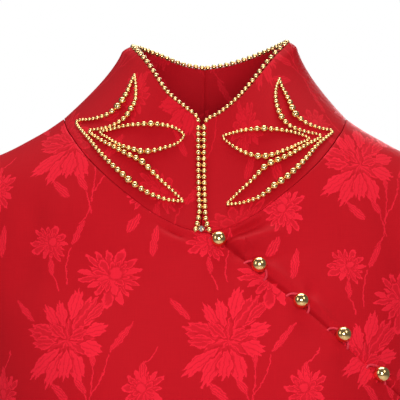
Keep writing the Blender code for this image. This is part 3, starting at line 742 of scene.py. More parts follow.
def back_panel_grid(nape):
    shares = [share_of(x, z) for x, _, z in nape]
    columns = shoulder_shares(shares[0])[::-1] + shares + [-s for s in shoulder_shares(-shares[-1])]
    rows = []
    for k, share in enumerate(columns):
        on_neck = SHOULDER_STEPS <= k < SHOULDER_STEPS + len(nape)
        top = meeting_height(share, nape_line if on_neck else ridge_line)
        rows.append(column_rows(share, top, HEM, 1, skirt_distances))
    return np.stack(rows, axis=1)


def crease_heights(grid, creases, facing):
    """How far the creases lift the cloth at each point of a grid. They fade out at the seams."""
    x, z = grid[..., 0], grid[..., 2]
    lift = np.zeros(x.shape)
    rows = zip(*(creases[name] for name in ("across", "up", "across_end", "up_end", "width", "height")))
    for across, up, across_end, up_end, width, height in rows:
        run = np.array([across_end - across, up_end - up])
        length = np.linalg.norm(run)
        run = run / length
        along = ((x - across) * run[0] + (z - up) * run[1]) / length
        bow = CREASE_BOW * length * np.sin(math.pi * np.clip(along, 0, 1))
        aside = (x - across) * -run[1] + (z - up) * run[0] - bow
        # It widens along its length, and fades out over the first and the last quarter of it
        spread = width * (0.75 + 0.5 * np.clip(along, 0, 1))
        shape = hump(aside, 0, spread) - BESIDE_SHARE * hump(aside, BESIDE_PLACE * spread, spread)
        lift += height * shape * ease(along * 3.2 + 0.2) * ease((1 - along) * 3.2 + 0.2)
    if facing < 0:
        top = np.where(np.abs(x) < NECK_REACH, neck_line(x), ridge_line(x))
    else:
        top = np.where(np.abs(x) < NECK_REACH, nape_line(x), ridge_line(x))
    lift *= ease((top - z) / CREASE_FADE)
    return lift * ease((1 - np.abs(x) / edge_reach(z)) / SIDE_FADE)


def placket_puff(yoke, clear, front, first_column):
    """The yoke's soft rise along the placket, let down at each button, and the groove beside the edge."""
    edge = front[0, first_column:]
    covered = walk(edge)
    sewn_at = np.interp(BUTTONS["share"] * covered[-1], covered, edge[:, 0])
    held = np.clip(sum(hump(yoke[..., 0], place, HELD_WIDTH) for place in sewn_at), 0, 1)
    away = clear * EDGE_SLANT
    rise = PUFF_HEIGHT * hump(away, PUFF_PLACE, PUFF_WIDTH) * (1 - PUFF_HELD * held)
    groove = GROOVE_DEPTH * hump(away, GROOVE_PLACE, GROOVE_WIDTH) * (1 - GROOVE_HELD * held**2)
    return (rise - groove * (away > 0))[..., None]


def flat_places(grid, facing):
    """Each point's place on the flat cloth: the way across it at its height, and the way up to it."""
    x, z = grid[..., 0], grid[..., 2]
    steps = 1 - (1 - np.linspace(0, 1, FLAT_POINTS[0])) ** 2
    across = x[..., None] * steps
    depth = body_depth(across, z[..., None], facing)
    u = np.sum(np.hypot(np.diff(across, axis=-1), np.diff(depth, axis=-1)), axis=-1) * np.sign(x)
    up = FLAT_START + (z[..., None] - FLAT_START) * np.linspace(0, 1, FLAT_POINTS[1])
    depth = body_depth(np.broadcast_to(x[..., None], up.shape), up, facing)
    climb = np.sum(np.hypot(np.diff(up, axis=-1), np.diff(depth, axis=-1)), axis=-1)
    return np.stack([u, FLAT_START + climb * np.sign(z - FLAT_START)], axis=-1)


# The collar


def joined_base(front, back):
    """The neck seam from the front edge round to the centre back, and the turn at each point."""
    points = np.concatenate([front[:-1], (front[-1:] + back[:1]) / 2, back[1:]])
    before, after = walk(front), walk(back)
    turns = np.concatenate([before[:-1] / before[-1], 1 + after / after[-1]])
    return points, turns


def collar_lines(side):
    front = seam_points(COLLAR_SPLIT, side * NECK_REACH, neck_line, -1, FINE)
    back = seam_points(side * NECK_REACH, 0.0, nape_line, 1, FINE)
    return joined_base(front, back)


def placed(across, up, depth):
    """The point at a depth that shows at this place in the view."""
    level, tilt = math.cos(VIEW_TILT), math.sin(VIEW_TILT)
    over = up - VIEW_CENTRE[2]
    above = over * (VIEW_DISTANCE + depth * level) + VIEW_DISTANCE * depth * tilt
    above = above / (VIEW_DISTANCE * level - over * tilt)
    scale = VIEW_DISTANCE / (VIEW_DISTANCE + depth * level + above * tilt)
    aside = (across - VIEW_CENTRE[0]) / scale
    return np.stack([VIEW_CENTRE[0] + aside, depth, VIEW_CENTRE[2] + above], axis=-1)


def collar_point(side, lines, turn, rise):
    """A point on the collar: turn goes round it, and rise from its seam to its top edge."""
    points, turns = lines
    foot = np.stack([np.interp(turn, turns, points[:, i]) for i in range(3)], axis=-1)
    word = "left" if side > 0 else "right"
    columns = (f"{word}_across", f"{word}_up", "depth")
    top = placed(*(read(TOP_EDGE, "turn", column, turn) for column in columns))
    rise = np.asarray(rise)[..., None]
    point = foot + (top - foot) * rise
    out = unit(point * np.array([1, 1, 0]))
    # Over the ears the edge rolls in, so that the cloth stands out just under it
    beyond = (rise - ROLL_RISE) / (1 - ROLL_RISE)
    roll = np.where(rise < ROLL_RISE, (rise / ROLL_RISE) ** 5, 1 - beyond**2)
    roll = roll * EAR_ROLL * hump(np.asarray(turn)[..., None], 1, EAR_SPREAD)
    return point + out * (roll - COLLAR_HOLLOW * 4 * rise * (1 - rise))


def collar_normal(side, lines, turn, rise):
    step = 0.004
    low, high = max(turn - step, 0), min(turn + step, 2)
    around = collar_point(side, lines, high, rise) - collar_point(side, lines, low, rise)
    upward = collar_point(side, lines, turn, rise + step) - collar_point(side, lines, turn, rise - step)
    normal = unit(np.cross(around, upward))
    return normal if normal @ (collar_point(side, lines, turn, rise) * [1, 1, 0]) > 0 else -normal


def square_to_edge(edge, away):
    """The direction across an edge, in the surface that leads away from it."""
    along = unit(np.gradient(edge, axis=0))
    return unit(away - np.sum(away * along, axis=1, keepdims=True) * along)


def collar_grid(side, turns, lines):
    rises = 1 - (1 - np.linspace(0, 1, COLLAR_ROWS + 1)) ** 1.5
    grid = np.stack([collar_point(side, lines, turns, np.full(len(turns), r)) for r in rises])
    shift = SEAM_GAP / 2 + 0.0001
    grid[:, 0, 0] += side * shift
    grid[:, -1, 0] = 0
    grid[0] += square_to_edge(grid[0], grid[1] - grid[0]) * NECK_GAP
    return grid


def seen(point):
    """Where a point shows in the view, as metres across and up on the plane through the view's centre."""
    ahead = np.array([0, math.cos(VIEW_TILT), math.sin(VIEW_TILT)])
    up = np.array([0, -math.sin(VIEW_TILT), math.cos(VIEW_TILT)])
    away = point - VIEW_CENTRE
    scale = VIEW_DISTANCE / (VIEW_DISTANCE + away @ ahead)
    return np.stack([VIEW_CENTRE[0] + scale * away[..., 0], VIEW_CENTRE[2] + scale * (away @ up)], axis=-1)


def collar_chart(side, lines):
    """Places all over one half of the collar, and where each shows in the view."""
    grids = np.meshgrid(np.linspace(0, 0.98, 40), np.linspace(0.02, 0.98, 24))
    turns, rises = (grid.ravel() for grid in grids)
    return turns, rises, seen(collar_point(side, lines, turns, rises))


def collar_spot(side, lines, chart, across, up):
    """The turn and rise of the point of the collar that shows at this place in the view."""
    target = np.array([across, up])
    turns, rises, shown = chart
    nearest = int(np.argmin(np.sum((shown - target) ** 2, axis=1)))
    turn, rise = turns[nearest], rises[nearest]
    step = 1e-4
    for _ in range(4):
        here = seen(collar_point(side, lines, turn, rise))
        by_turn = (seen(collar_point(side, lines, turn + step, rise)) - here) / step
        by_rise = (seen(collar_point(side, lines, turn, rise + step)) - here) / step
        change = np.linalg.solve(np.stack([by_turn, by_rise], axis=1), target - here)
        turn = float(np.clip(turn + change[0], 0, 0.995))
        rise = float(np.clip(rise + change[1], 0.005, 0.99))
    return turn, rise


# Meshes


def add_object(name, vertices, faces, surface, flat=None, angle=60):
    """An object with smooth faces. flat gives each vertex's place on the flat cloth."""
    mesh = bpy.data.meshes.new(name)
    mesh.from_pydata(np.asarray(vertices).tolist(), [], faces)
    if flat is not None:
        layer = mesh.uv_layers.new(name="cloth")
        corners = np.zeros(len(mesh.loops), int)
        mesh.loops.foreach_get("vertex_index", corners)
        layer.data.foreach_set("uv", np.asarray(flat)[corners].ravel())
    shape = bmesh.new()
    shape.from_mesh(mesh)
    bmesh.ops.recalc_face_normals(shape, faces=shape.faces)
    shape.to_mesh(mesh)
    shape.free()
    mesh.materials.append(surface)
    mesh.shade_smooth()
    mesh.set_sharp_from_angle(angle=math.radians(angle))
    made = bpy.data.objects.new(name, mesh)
    bpy.context.scene.collection.objects.link(made)
    return made


def grid_faces(rows, columns, first=0):
    faces = []
    for i in range(rows - 1):
        for j in range(columns - 1):
            a = first + i * columns + j
            faces.append((a, a + columns, a + columns + 1, a + 1))
    return faces


def shell(name, grid, normals, thickness, rim, surface, flat):
    """A wall of cloth with a rounded turned edge of radius rim. The grid is its outside."""
    rows, columns = grid.shape[:2]
    face = grid.copy()
    face[0] += unit(grid[1] - grid[0]) * rim
    face[-1] += unit(grid[-2] - grid[-1]) * rim
    face[:, 0] += unit(grid[:, 1] - grid[:, 0]) * rim
    face[:, -1] += unit(grid[:, -2] - grid[:, -1]) * rim
    border = [(i, 0) for i in range(rows)]
    border += [(rows - 1, j) for j in range(1, columns)]
    border += [(i, columns - 1) for i in range(rows - 2, -1, -1)]
    border += [(0, j) for j in range(columns - 2, 0, -1)]
    down, across = np.array(border).T
    out, up, edge = (grid - face)[down, across], normals[down, across], face[down, across]
    turns = [(45, rim), (90, rim), (90, thickness - rim), (135, thickness - rim)]
    if rim > thickness * 0.49:
        turns = [(45, rim), (90, rim), (135, rim)]
    rings = [
        edge - up * depth + out * math.sin(math.radians(turn)) + up * rim * math.cos(math.radians(turn))
        for turn, depth in turns
    ]
    count = len(border)
    under = rows * columns
    points = np.concatenate([face.reshape(-1, 3), (face - normals * thickness).reshape(-1, 3)] + rings)
    places = flat.reshape(-1, 2)
    places = np.concatenate([places, places] + [flat[down, across]] * len(rings))
    faces = grid_faces(rows, columns) + grid_faces(rows, columns, under)
    loops = [[i * columns + j for i, j in border]]
    loops += [list(range(2 * under + k * count, 2 * under + (k + 1) * count)) for k in range(len(rings))]
    loops.append([under + index for index in loops[0]])
    for upper, lower in zip(loops, loops[1:]):
        for k in range(count):
            n = (k + 1) % count
            faces.append((upper[k], upper[n], lower[n], lower[k]))
    return add_object(name, points, faces, surface, places)


def rings_round(path, radii, closed, sides):
    """Points of a round cord along a path."""
    path = np.asarray(path)
    if closed:
        ahead = np.roll(path, -1, axis=0) - np.roll(path, 1, axis=0)
    else:
        ahead = np.gradient(path, axis=0)
    ahead = unit(ahead)
    side = unit(np.cross(ahead, path * np.array([1, 1, 0])))
    up = np.cross(side, ahead)
    turns = np.arange(sides) * 2 * math.pi / sides
    ring = np.cos(turns)[:, None, None] * side + np.sin(turns)[:, None, None] * up
    return (path + ring * np.asarray(radii)[:, None]).transpose(1, 0, 2).reshape(-1, 3)


def tube(path, radii, closed=False, sides=12):
    """Points and faces of a round cord along a path, with a radius at each of its points."""
    points = rings_round(path, radii, closed, sides)
    count = len(path)
    faces = []
    for i in range(count if closed else count - 1):
        for k in range(sides):
            a, b = i * sides + k, i * sides + (k + 1) % sides
            c, d = (a + sides) % (count * sides), (b + sides) % (count * sides)
            faces.append((a, b, d, c))
    if not closed:
        faces.append(tuple(range(sides - 1, -1, -1)))
        faces.append(tuple(range((count - 1) * sides, count * sides)))
    return points, faces


def turned(profile, foot, axis, sides):
    """Points and faces turned about an axis: the profile is (radius, height) pairs from foot to top."""
    axis = unit(np.asarray(axis))
    side = unit(np.cross(axis, [0.0, 0.0, 1.0]))
    up = np.cross(axis, side)
    turns = np.arange(sides) * 2 * math.pi / sides
    ring = np.cos(turns)[:, None] * side + np.sin(turns)[:, None] * up
    points = [foot + axis * profile[0][1]]
    for radius, height in profile[1:-1]:
        points.extend(foot + axis * height + ring * radius)
    points.append(foot + axis * profile[-1][1])
    last = len(points) - 1
    faces = []
    for k in range(sides):
        n = (k + 1) % sides
        faces.append((0, 1 + k, 1 + n))
        for level in range(len(profile) - 3):
            a, b = 1 + level * sides + k, 1 + level * sides + n
            faces.append((a, a + sides, b + sides, b))
        faces.append((last, last - sides + n, last - sides + k))
    return np.array(points), faces


def joined(parts):
    """One list of points and faces from several."""
    points, faces, first = [], [], 0
    for some_points, some_faces in parts:
        points.append(some_points)
        faces += [tuple(first + index for index in face) for face in some_faces]
        first += len(some_points)
    return np.concatenate(points), faces


# Beadwork


def smooth_path(rows, closed):
    """Closely spaced rows (across, up, radius) on a smooth line through a table's rows."""
    points = np.stack([rows["across"], rows["up"], rows["radius"]], axis=1)
    n = len(points)
    spans = n if closed else n - 1
    found = []
    for place in np.linspace(0, spans, 40 * spans + 1):
        i = min(int(place), spans - 1)
        t = place - i
        if closed:
            p, a, b, q = (points[(i + k) % n] for k in (-1, 0, 1, 2))
        else:
            p, a, b, q = (points[min(max(i + k, 0), n - 1)] for k in (-1, 0, 1, 2))
        bend = 2 * a + (b - p) * t + (2 * p - 5 * a + 4 * b - q) * t**2 + (3 * a - p - 3 * b + q) * t**3
        found.append(bend / 2)
    return np.array(found)


def bead_places(length, radius_at, gap):
    """Distances along a string for beads that nearly touch, each with its own radius."""
    places = [0.0]
    while True:
        here = places[-1]
        radius = radius_at(here)
        step = gap * (radius + radius_at(here + 2 * radius))
        if here + step > length:
            return np.array(places)
        places.append(here + step)


def fitted_places(length, radius_at, closed):
    """The same, spread so that the last bead ends the string or, on a ring, meets the first."""
    places = bead_places(length, radius_at, BEAD_GAP)
    if closed:
        end = places[-1] + BEAD_GAP * (radius_at(places[-1]) + radius_at(0.0))
        places = places * (length / end)
    else:
        places = places * (length / places[-1])
    return places


def bead(centre, radius, axis):
    """A round bead, bored along its string."""
    bore = [(0, 0.86), (0.20, 0.88), (0.26, 0.965)]
    turns = [math.pi * (0.085 + 0.83 * k / 9) for k in range(1, 9)]
    profile = [(across, -along) for across, along in bore]
    profile += [(math.sin(turn), -math.cos(turn)) for turn in turns]
    profile += bore[::-1]
    return turned([(across * radius, along * radius) for across, along in profile], centre, axis, 16)


def add_beads(name, centres, radii, surface, closed=False):
    centres = np.asarray(centres)
    if closed:
        ahead = np.roll(centres, -1, axis=0) - np.roll(centres, 1, axis=0)
    else:
        ahead = np.gradient(centres, axis=0)
    parts = [bead(centre, radius, axis) for centre, radius, axis in zip(centres, radii, unit(ahead))]
    return add_object(name, *joined(parts), surface, angle=40)


def leaf_string(side, lines, chart, rows, closed):
    """Centres and radii of the beads of one leaf."""
    path = smooth_path(rows, closed)[::8]
    points, normals = [], []
    for across, up, _ in path:
        turn, rise = collar_spot(side, lines, chart, across, up)
        points.append(collar_point(side, lines, turn, rise))
        normals.append(collar_normal(side, lines, turn, rise))
    points, normals, radii = np.array(points), np.array(normals), path[:, 2]
    covered = walk(points)
    places = fitted_places(covered[-1], lambda d: float(np.interp(d, covered, radii)), closed)
    size = np.interp(places, covered, radii)
    spots = at_distances(points, places)
    facing = unit(np.stack([np.interp(places, covered, normals[:, i]) for i in range(3)], axis=1))
    return spots + facing * size[:, None] * LEAF_STAND, size * LEAF_FILL


def front_string(side, lines, chart, column):
    """Centres and radii of the beads down one half's front edge."""
    points = []
    for up in np.linspace(FRONT_ROWS["up"][0], FRONT_ROWS["up"][-1], 40):
        away = read(FRONT_ROWS, "up", column, up)
        turn, rise = collar_spot(side, lines, chart, COLLAR_SPLIT + side * away, up)
        normal = collar_normal(side, lines, turn, rise)
        points.append(collar_point(side, lines, turn, rise) + normal * FRONT_BEAD_RADIUS)
    points = np.array(points)
    length = walk(points)[-1]
    places = fitted_places(length, lambda d: FRONT_BEAD_RADIUS, False)
    return at_distances(points, places), np.full(len(places), FRONT_BEAD_RADIUS * FRONT_FILL)


def edge_string(side, word, grid, normals, turns):
    """Centres and radii of the beads along one half's top edge."""
    upward = square_to_edge(grid[-1], grid[-1] - grid[-2])
    path = grid[-1] - normals[-1] * COLLAR_CLOTH / 2
    covered = walk(path)
    radius = read(EDGE_BEADS, "turn", "radius", turns)
    room = radius * read(EDGE_BEADS, "turn", "gap", turns)
    places = fitted_places(covered[-1] - EDGE_ROOM, lambda d: float(np.interp(d, covered, room)), False)
    places = places + EDGE_START
    size = np.interp(places, covered, radius)
    lift = np.stack([np.interp(places, covered, upward[:, i]) for i in range(3)], axis=1)
    share = np.interp(places, covered, read(EDGE_BEADS, "turn", "lift", turns))
    spots = at_distances(path, places) + unit(lift) * (size * share)[:, None]
    beside = read(FRONT_ROWS, "up", word, FRONT_ROWS["up"][-1]) * ease(1 - places / EDGE_LEAN)
    spots[:, 0] += side * beside
    return spots, size


# Seams


def seam_paths():
    """The middle of the cloth along each sewn seam, where its turnings close the gap."""
    paths = []
    for side in (-1, 1):
        neck = collar_lines(side)[0][::6]
        paths.append(neck - unit(neck * np.array([1, 1, 0])) * CLOTH * NECK_SEAM_DEPTH)
        reach = np.linspace(NECK_REACH, RIDGE["reach"][-1], 40)
        paths.append(np.stack([side * reach, 0 * reach, ridge_line(reach) - CLOTH * SEAM_DEPTH], axis=1))
        height = np.linspace(UNDERARM, SLIT_TOP, 120)
        paths.append(np.stack([side * (edge_reach(height) - CLOTH * SEAM_DEPTH), 0 * height, height], axis=1))
    return paths


# Buttons and loops


def placket_frame(share, front, first_column):
    """A point of the placket's edge, the way along it and the way up across it."""
    edge = front[0, first_column:]
    covered = walk(edge)
    place = share * covered[-1]
    step = 0.004
    here, before, after = at_distances(edge, [place, place - step, place + step])
    along = unit(after - before)
    below = front[LAP_STEPS, first_column:]
    inward = unit(at_distances(below, [share * walk(below)[-1]])[0] - here)
    normal = unit(np.cross(along, inward))
    if normal[1] > 0:
        normal = -normal
    across = np.cross(normal, along)
    if across[2] < 0:
        across = -across
    return here, along, across


def on_cloth(grid, place):
    """The nearest point of a wall's outside, and its outward normal there."""
    points = [Vector(p) for p in grid.reshape(-1, 3)]
    tree = BVHTree.FromPolygons(points, grid_faces(*grid.shape[:2]))
    foot, normal, _, _ = tree.find_nearest(Vector(place))
    foot, normal = np.array(foot), np.array(normal)
    return foot, normal if normal[1] < 0 else -normal


def ball_button(foot, normal):
    """A polished ball on a short shank with a small foot."""
    profile = [
        (0, LAYER_GAP),
        (0.0018, LAYER_GAP),
        (0.0019, LAYER_GAP + 0.0003),
        (0.0013, LAYER_GAP + 0.0006),
        (SHANK_RADIUS, 0.0016),
        (SHANK_RADIUS * 1.25, BALL_LIFT - BALL_RADIUS * 0.975),
    ]
    for k in range(2, 29):
        turn = math.pi * k / 29
        profile.append((BALL_RADIUS * math.sin(turn), BALL_LIFT - BALL_RADIUS * math.cos(turn)))
    profile.append((0, BALL_LIFT + BALL_RADIUS))
    return turned(profile, foot, normal, 48)


def loop_path(edge, along, across, foot, up, spread):
    """The middle of a loop, from under the placket's edge round the shank and back."""
    tip = (foot - edge) @ across + SHANK_RADIUS + CORD_RADIUS + LOOP_CLEAR
    path = []
    for turn in np.linspace(0, math.pi, 41):
        side = -math.cos(turn)
        out = math.sin(turn) ** 0.9
        side = side * (1 - 0.22 * out**3) if abs(side) > 1e-9 else side
        place = edge + along * spread * side + across * (LOOP_START + (tip - LOOP_START) * out)
        at_edge = CORD_RADIUS - CLOTH
        on_yoke = (foot - place) @ up + CORD_RADIUS + 0.0001
        height = at_edge + (on_yoke - at_edge) * ease(out * 1.5)
        path.append(place + up * height)
    return np.array(path)


# Materials


class Number:
    """A number in a material's nodes, so that a formula can be written out as one."""

    def __init__(self, tree, socket):
        self.tree, self.socket = tree, socket

    def maths(self, operation, *others):
        node = self.tree.nodes.new("ShaderNodeMath")
        node.operation = operation
        for slot, value in zip(node.inputs, (self, *others)):
            if isinstance(value, Number):
                self.tree.links.new(value.socket, slot)
            else:
                slot.default_value = value
        return Number(self.tree, node.outputs[0])

    def __add__(self, other):
        return self.maths("ADD", other)

    def __sub__(self, other):
        return self.maths("SUBTRACT", other)

    def __mul__(self, other):
        return self.maths("MULTIPLY", other)

    def __truediv__(self, other):
        return self.maths("DIVIDE", other)

    def __rsub__(self, other):
        return (self * -1.0) + other

    def power(self, other):
        return self.maths("POWER", other)

    def most(self, other):
        return self.maths("MAXIMUM", other)

    def least(self, other):
        return self.maths("MINIMUM", other)

    def step_between(self, low, high):
        """Rises smoothly from 0 to 1 as the number goes from low to high."""
        node = self.tree.nodes.new("ShaderNodeMapRange")
        node.interpolation_type = "SMOOTHSTEP"
        self.tree.links.new(self.socket, node.inputs["Value"])
        node.inputs["From Min"].default_value = low
        node.inputs["From Max"].default_value = high
        return Number(self.tree, node.outputs["Result"])


def new_material(name):
    made = bpy.data.materials.new(name)
    made.use_nodes = True
    return made, made.node_tree, made.node_tree.nodes["Principled BSDF"]


def noise(tree, vector, scale, detail=2.0, roughness=0.5):
    node = tree.nodes.new("ShaderNodeTexNoise")
    node.inputs["Scale"].default_value = scale
    node.inputs["Detail"].default_value = detail
    node.inputs["Roughness"].default_value = roughness
    tree.links.new(vector, node.inputs["Vector"])
    return Number(tree, node.outputs["Fac"])


def combined(tree, x, y, z=0.0):
    node = tree.nodes.new("ShaderNodeCombineXYZ")
    for slot, value in zip(node.inputs, (x, y, z)):
        if isinstance(value, Number):
            tree.links.new(value.socket, slot)
        else:
            slot.default_value = value
    return node.outputs[0]


def mixed(tree, share, first, second):
    """A colour between two: each is a colour or another node's output."""
    node = tree.nodes.new("ShaderNodeMix")
    node.data_type = "RGBA"
    tree.links.new(share.socket, node.inputs["Factor"])
    for slot, value in zip([s for s in node.inputs if s.type == "RGBA"], (first, second)):
        if isinstance(value, tuple):
            slot.default_value = (*value, 1)
        else:
            tree.links.new(value, slot)
    return [s for s in node.outputs if s.type == "RGBA"][0]


def bumped(tree, shader, height, strength, distance):
    node = tree.nodes.new("ShaderNodeBump")
    node.inputs["Strength"].default_value = strength
    node.inputs["Distance"].default_value = distance
    tree.links.new(height.socket, node.inputs["Height"])
    tree.links.new(node.outputs["Normal"], shader.inputs["Normal"])


def nearest_repeat(u, v, across, up):
    """The place relative to a motif, in the nearest of its repeats."""
    half = (REPEAT[0] / 2, REPEAT[1] / 2)
    return (u - across).maths("WRAP", half[0], -half[0]), (v - up).maths("WRAP", half[1], -half[1])


def weighed(x, y, by_x, by_y, shift=0.0):
    return y.maths("MULTIPLY_ADD", by_y, x.maths("MULTIPLY_ADD", by_x, shift))


def turned_places(u, v, across, up, turn):
    """The same, turned to face the motif."""
    x, y = nearest_repeat(u, v, across, up)
    c, s = math.cos(turn), math.sin(turn)
    return weighed(x, y, c, s), weighed(x, y, -s, c)


def petal_ring(angle, away, petals, phase, reach, solid):
    """A ring of ragged petals: the brightness of its threads, and how far the ring's rim is."""
    petal = (angle + (angle * 2.0 + phase * 9).maths("SINE") * 0.20) * (petals / (2 * math.pi)) + phase
    aside = (petal.maths("FRACT") - 0.5).maths("ABSOLUTE") * 2
    index = petal.maths("FLOOR").maths("WRAP", petals, 0.0)
    own = ((index * 12.9898 + phase * 7).maths("SINE") * 437.58).maths("FRACT")
    rim = own * (0.34 * reach) + 0.68 * reach - aside.power(1.6) * (0.34 * reach)
    inside = rim - away
    outline = aside.step_between(0.38, 0.66).most(inside.step_between(0.16 * reach, 0.07 * reach))
    between = aside.step_between(0.78, 0.98) * away.step_between(0.15 * reach, 0.45 * reach)
    filled = (own * 1.7 + index * 0.618).maths("FRACT").step_between(0.98 - solid, 1.02 - solid)
    level = (outline * 0.62 + 0.36).most(filled * 0.85)
    return level * (1 - between * 0.85), inside


def bloom(u, v, across, up, radius, petals, turn, solid):
    """A ragged double flower head, as 0 on the ground to 1 in its brightest threads."""
    x, y = turned_places(u, v, across, up, turn)
    away = (x * x + y * y).power(0.5) / radius
    angle = y.maths("ARCTAN2", x)
    level, inside = petal_ring(angle, away, petals, phase=0.15, reach=1.0, solid=solid)
    level = level * inside.step_between(0.0, 0.03)
    upper, upper_inside = petal_ring(angle, away, petals - 4, phase=0.62, reach=0.58, solid=solid)
    level = level * (1 - upper_inside.step_between(-0.06, -0.02) * 0.6)
    level = level.most(upper * upper_inside.step_between(0.0, 0.03))
    heart = ((x - 0.15 * radius).power(2.0) + (y - 0.06 * radius).power(2.0)).power(0.5) / radius
    level = level * (1 - heart.step_between(0.25, 0.20) * 0.5)
    return level.most(heart.step_between(0.20, 0.14) * 0.85)


def petal(x, y, bearing, start, length, width, solid):
    """One ragged petal: the brightness of its threads, and how far inside its outline each place is."""
    c, s = math.cos(math.radians(bearing)), math.sin(math.radians(bearing))
    along = weighed(x, y, c / length, s / length, -start / length)
    aside = weighed(x, y, -2 * s / width, 2 * c / width)
    teeth = (aside * 1.9 + bearing).maths("PINGPONG", 0.5) * 0.40 + 0.90
    reach = (along * teeth).most(0.0).least(1.0)
    half = (reach.power(1.35) * math.pi).maths("SINE")
    beyond = ((along - 0.5).maths("ABSOLUTE") - 0.5).most(0.0)
    inside = half - aside.maths("ABSOLUTE") - beyond * 6.0
    threads = (aside * 1.9 + along * 0.5).maths("PINGPONG", 0.5) * 2
    veins = threads.step_between(0.08, 0.34) if solid else threads.step_between(0.55, 0.95)
    base = 0.50 if solid else 0.36
    level = veins * (0.92 - base) + base
    return level.most(inside.step_between(0.34, 0.18)), inside


def lily(u, v):
    """The large open flower: a ring of short petals, long ones over them, and a dark line round each."""
    x, y = nearest_repeat(u, v, *LILY_PLACE)
    away = (x * x + y * y).power(0.5) / LILY_RADIUS
    found, inside = petal_ring(y.maths("ARCTAN2", x), away, petals=11, phase=0.3, reach=1.0, solid=0.2)
    found = found * inside.step_between(0.0, 0.03)
    for row in zip(*LILY_PETALS.values()):
        level, inside = petal(x, y, *row)
        level = level * inside.step_between(0.0, 0.10)
        found = (found * (1 - inside.step_between(-0.22, -0.04) * 0.70)).most(level)
    return found


def bud(u, v, across, up, length, width, turn):
    """A slim bud or calyx that points up, with threads along it."""
    x, y = turned_places(u, v, across, up, turn)
    along = y / length
    half = ((along * along) * -4.0 + 1.0).most(0.0).power(0.6) * (along * -0.35 + 0.85) * (width / 2)
    inside = (half - x.maths("ABSOLUTE")).step_between(0.0, 0.0006)
    threads = (x / width * 5.0 + along * 1.5).maths("PINGPONG", 0.5) * 2
    return inside * (threads.step_between(0.2, 0.8) * 0.6 + 0.35)


def stem(u, v, across, up, across_end, up_end, bend):
    """A thin curved stem from one place to another."""
    run = (across_end - across, up_end - up)
    length = math.hypot(*run)
    turn = math.atan2(run[1], run[0])
    middle = (across + run[0] / 2, up + run[1] / 2)
    x, y = turned_places(u, v, *middle, turn)
    share = x / (length / 2)
    line = (share * share) * -bend + bend
    aside = (y - line).maths("ABSOLUTE")
    inside = aside.step_between(0.0007, 0.0003)
    return inside * share.maths("ABSOLUTE").step_between(1.04, 0.94) * 0.8


def woven_pattern():
    """A group of nodes for the whole repeat: how much each place belongs to a flower, bud or stem."""
    tree = bpy.data.node_groups.new("woven_flowers", "ShaderNodeTree")
    for name, way in (("Across", "INPUT"), ("Up", "INPUT"), ("Pattern", "OUTPUT")):
        tree.interface.new_socket(name=name, in_out=way, socket_type="NodeSocketFloat")
    u, v = (Number(tree, socket) for socket in tree.nodes.new("NodeGroupInput").outputs[:2])
    found = lily(u, v)
    for kind, rows in ((bloom, BLOOMS), (bud, BUDS), (stem, STEMS)):
        for row in zip(*rows.values()):
            found = found.most(kind(u, v, *row))
    tree.links.new(found.socket, tree.nodes.new("NodeGroupOutput").inputs["Pattern"])
    return tree


def pattern_at(tree, flowers, u, v):
    node = tree.nodes.new("ShaderNodeGroup")
    node.node_tree = flowers
    tree.links.new(u.socket, node.inputs["Across"])
    tree.links.new(v.socket, node.inputs["Up"])
    return Number(tree, node.outputs["Pattern"])


def satin(name, flowers, colours, offset):
    """Satin jacquard: a ground of fine crossing threads, with flowers in brighter, smoother threads, their
    brighter colour partly painted sheen.
    """
    made, tree, shader = new_material(name)
    places = tree.nodes.new("ShaderNodeUVMap")
    places.uv_map = "cloth"
    apart = tree.nodes.new("ShaderNodeSeparateXYZ")
    tree.links.new(places.outputs["UV"], apart.inputs[0])
    u = Number(tree, apart.outputs["X"]) + offset[0]
    v = Number(tree, apart.outputs["Y"]) + offset[1]
    soft = combined(tree, u, v)
    sway = (noise(tree, soft, SWAY_SCALE, 4.0, 0.6) - 0.5) * SWAY
    sway_up = (noise(tree, combined(tree, u + 3.0, v), SWAY_SCALE, 4.0, 0.6) - 0.5) * SWAY
    pattern = pattern_at(tree, flowers, u + sway, v + sway_up)
    down_threads = noise(tree, combined(tree, u * THREADS_ACROSS, v * THREADS_ALONG), 1.0, 2.0)
    cross_threads = noise(tree, combined(tree, u * THREADS_ALONG, v * THREADS_ACROSS), 1.0, 2.0)
    threads = down_threads * 0.5 + cross_threads * 0.5
    cloud = noise(tree, soft, 14.0, 3.0)
    # The flowers' colour, stronger and weaker in random patches, is partly woven pattern and partly painted
    # sheen
    patchy_pattern_and_sheen = pattern * (cloud * 0.5 + 0.70)
    colour = mixed(tree, patchy_pattern_and_sheen.least(1.0), *colours)
    bright = mixed(tree, (threads * 0.9 - 0.30).most(0.0).least(1.0), (0.78, 0.78, 0.78), (1.10, 1.10, 1.10))
    multiply = tree.nodes.new("ShaderNodeMix")
    multiply.data_type = "RGBA"
    multiply.blend_type = "MULTIPLY"
    multiply.inputs["Factor"].default_value = 1.0
    slots = [s for s in multiply.inputs if s.type == "RGBA"]
    tree.links.new(colour, slots[0])
    tree.links.new(bright, slots[1])
    tree.links.new([s for s in multiply.outputs if s.type == "RGBA"][0], shader.inputs["Base Color"])
    roughness = pattern * -0.12 + 0.58
    tree.links.new(roughness.socket, shader.inputs["Roughness"])
    shader.inputs["Specular IOR Level"].default_value = 0.22
    shader.inputs["Specular Tint"].default_value = (1.0, 0.10, 0.14, 1)
    shader.inputs["Sheen Weight"].default_value = 0.10
    shader.inputs["Sheen Roughness"].default_value = 0.4
    shader.inputs["Sheen Tint"].default_value = (1.0, 0.03, 0.06, 1)
    bumped(tree, shader, threads * 0.5 + cloud * 2.0, 0.35, 0.0006)
    return made


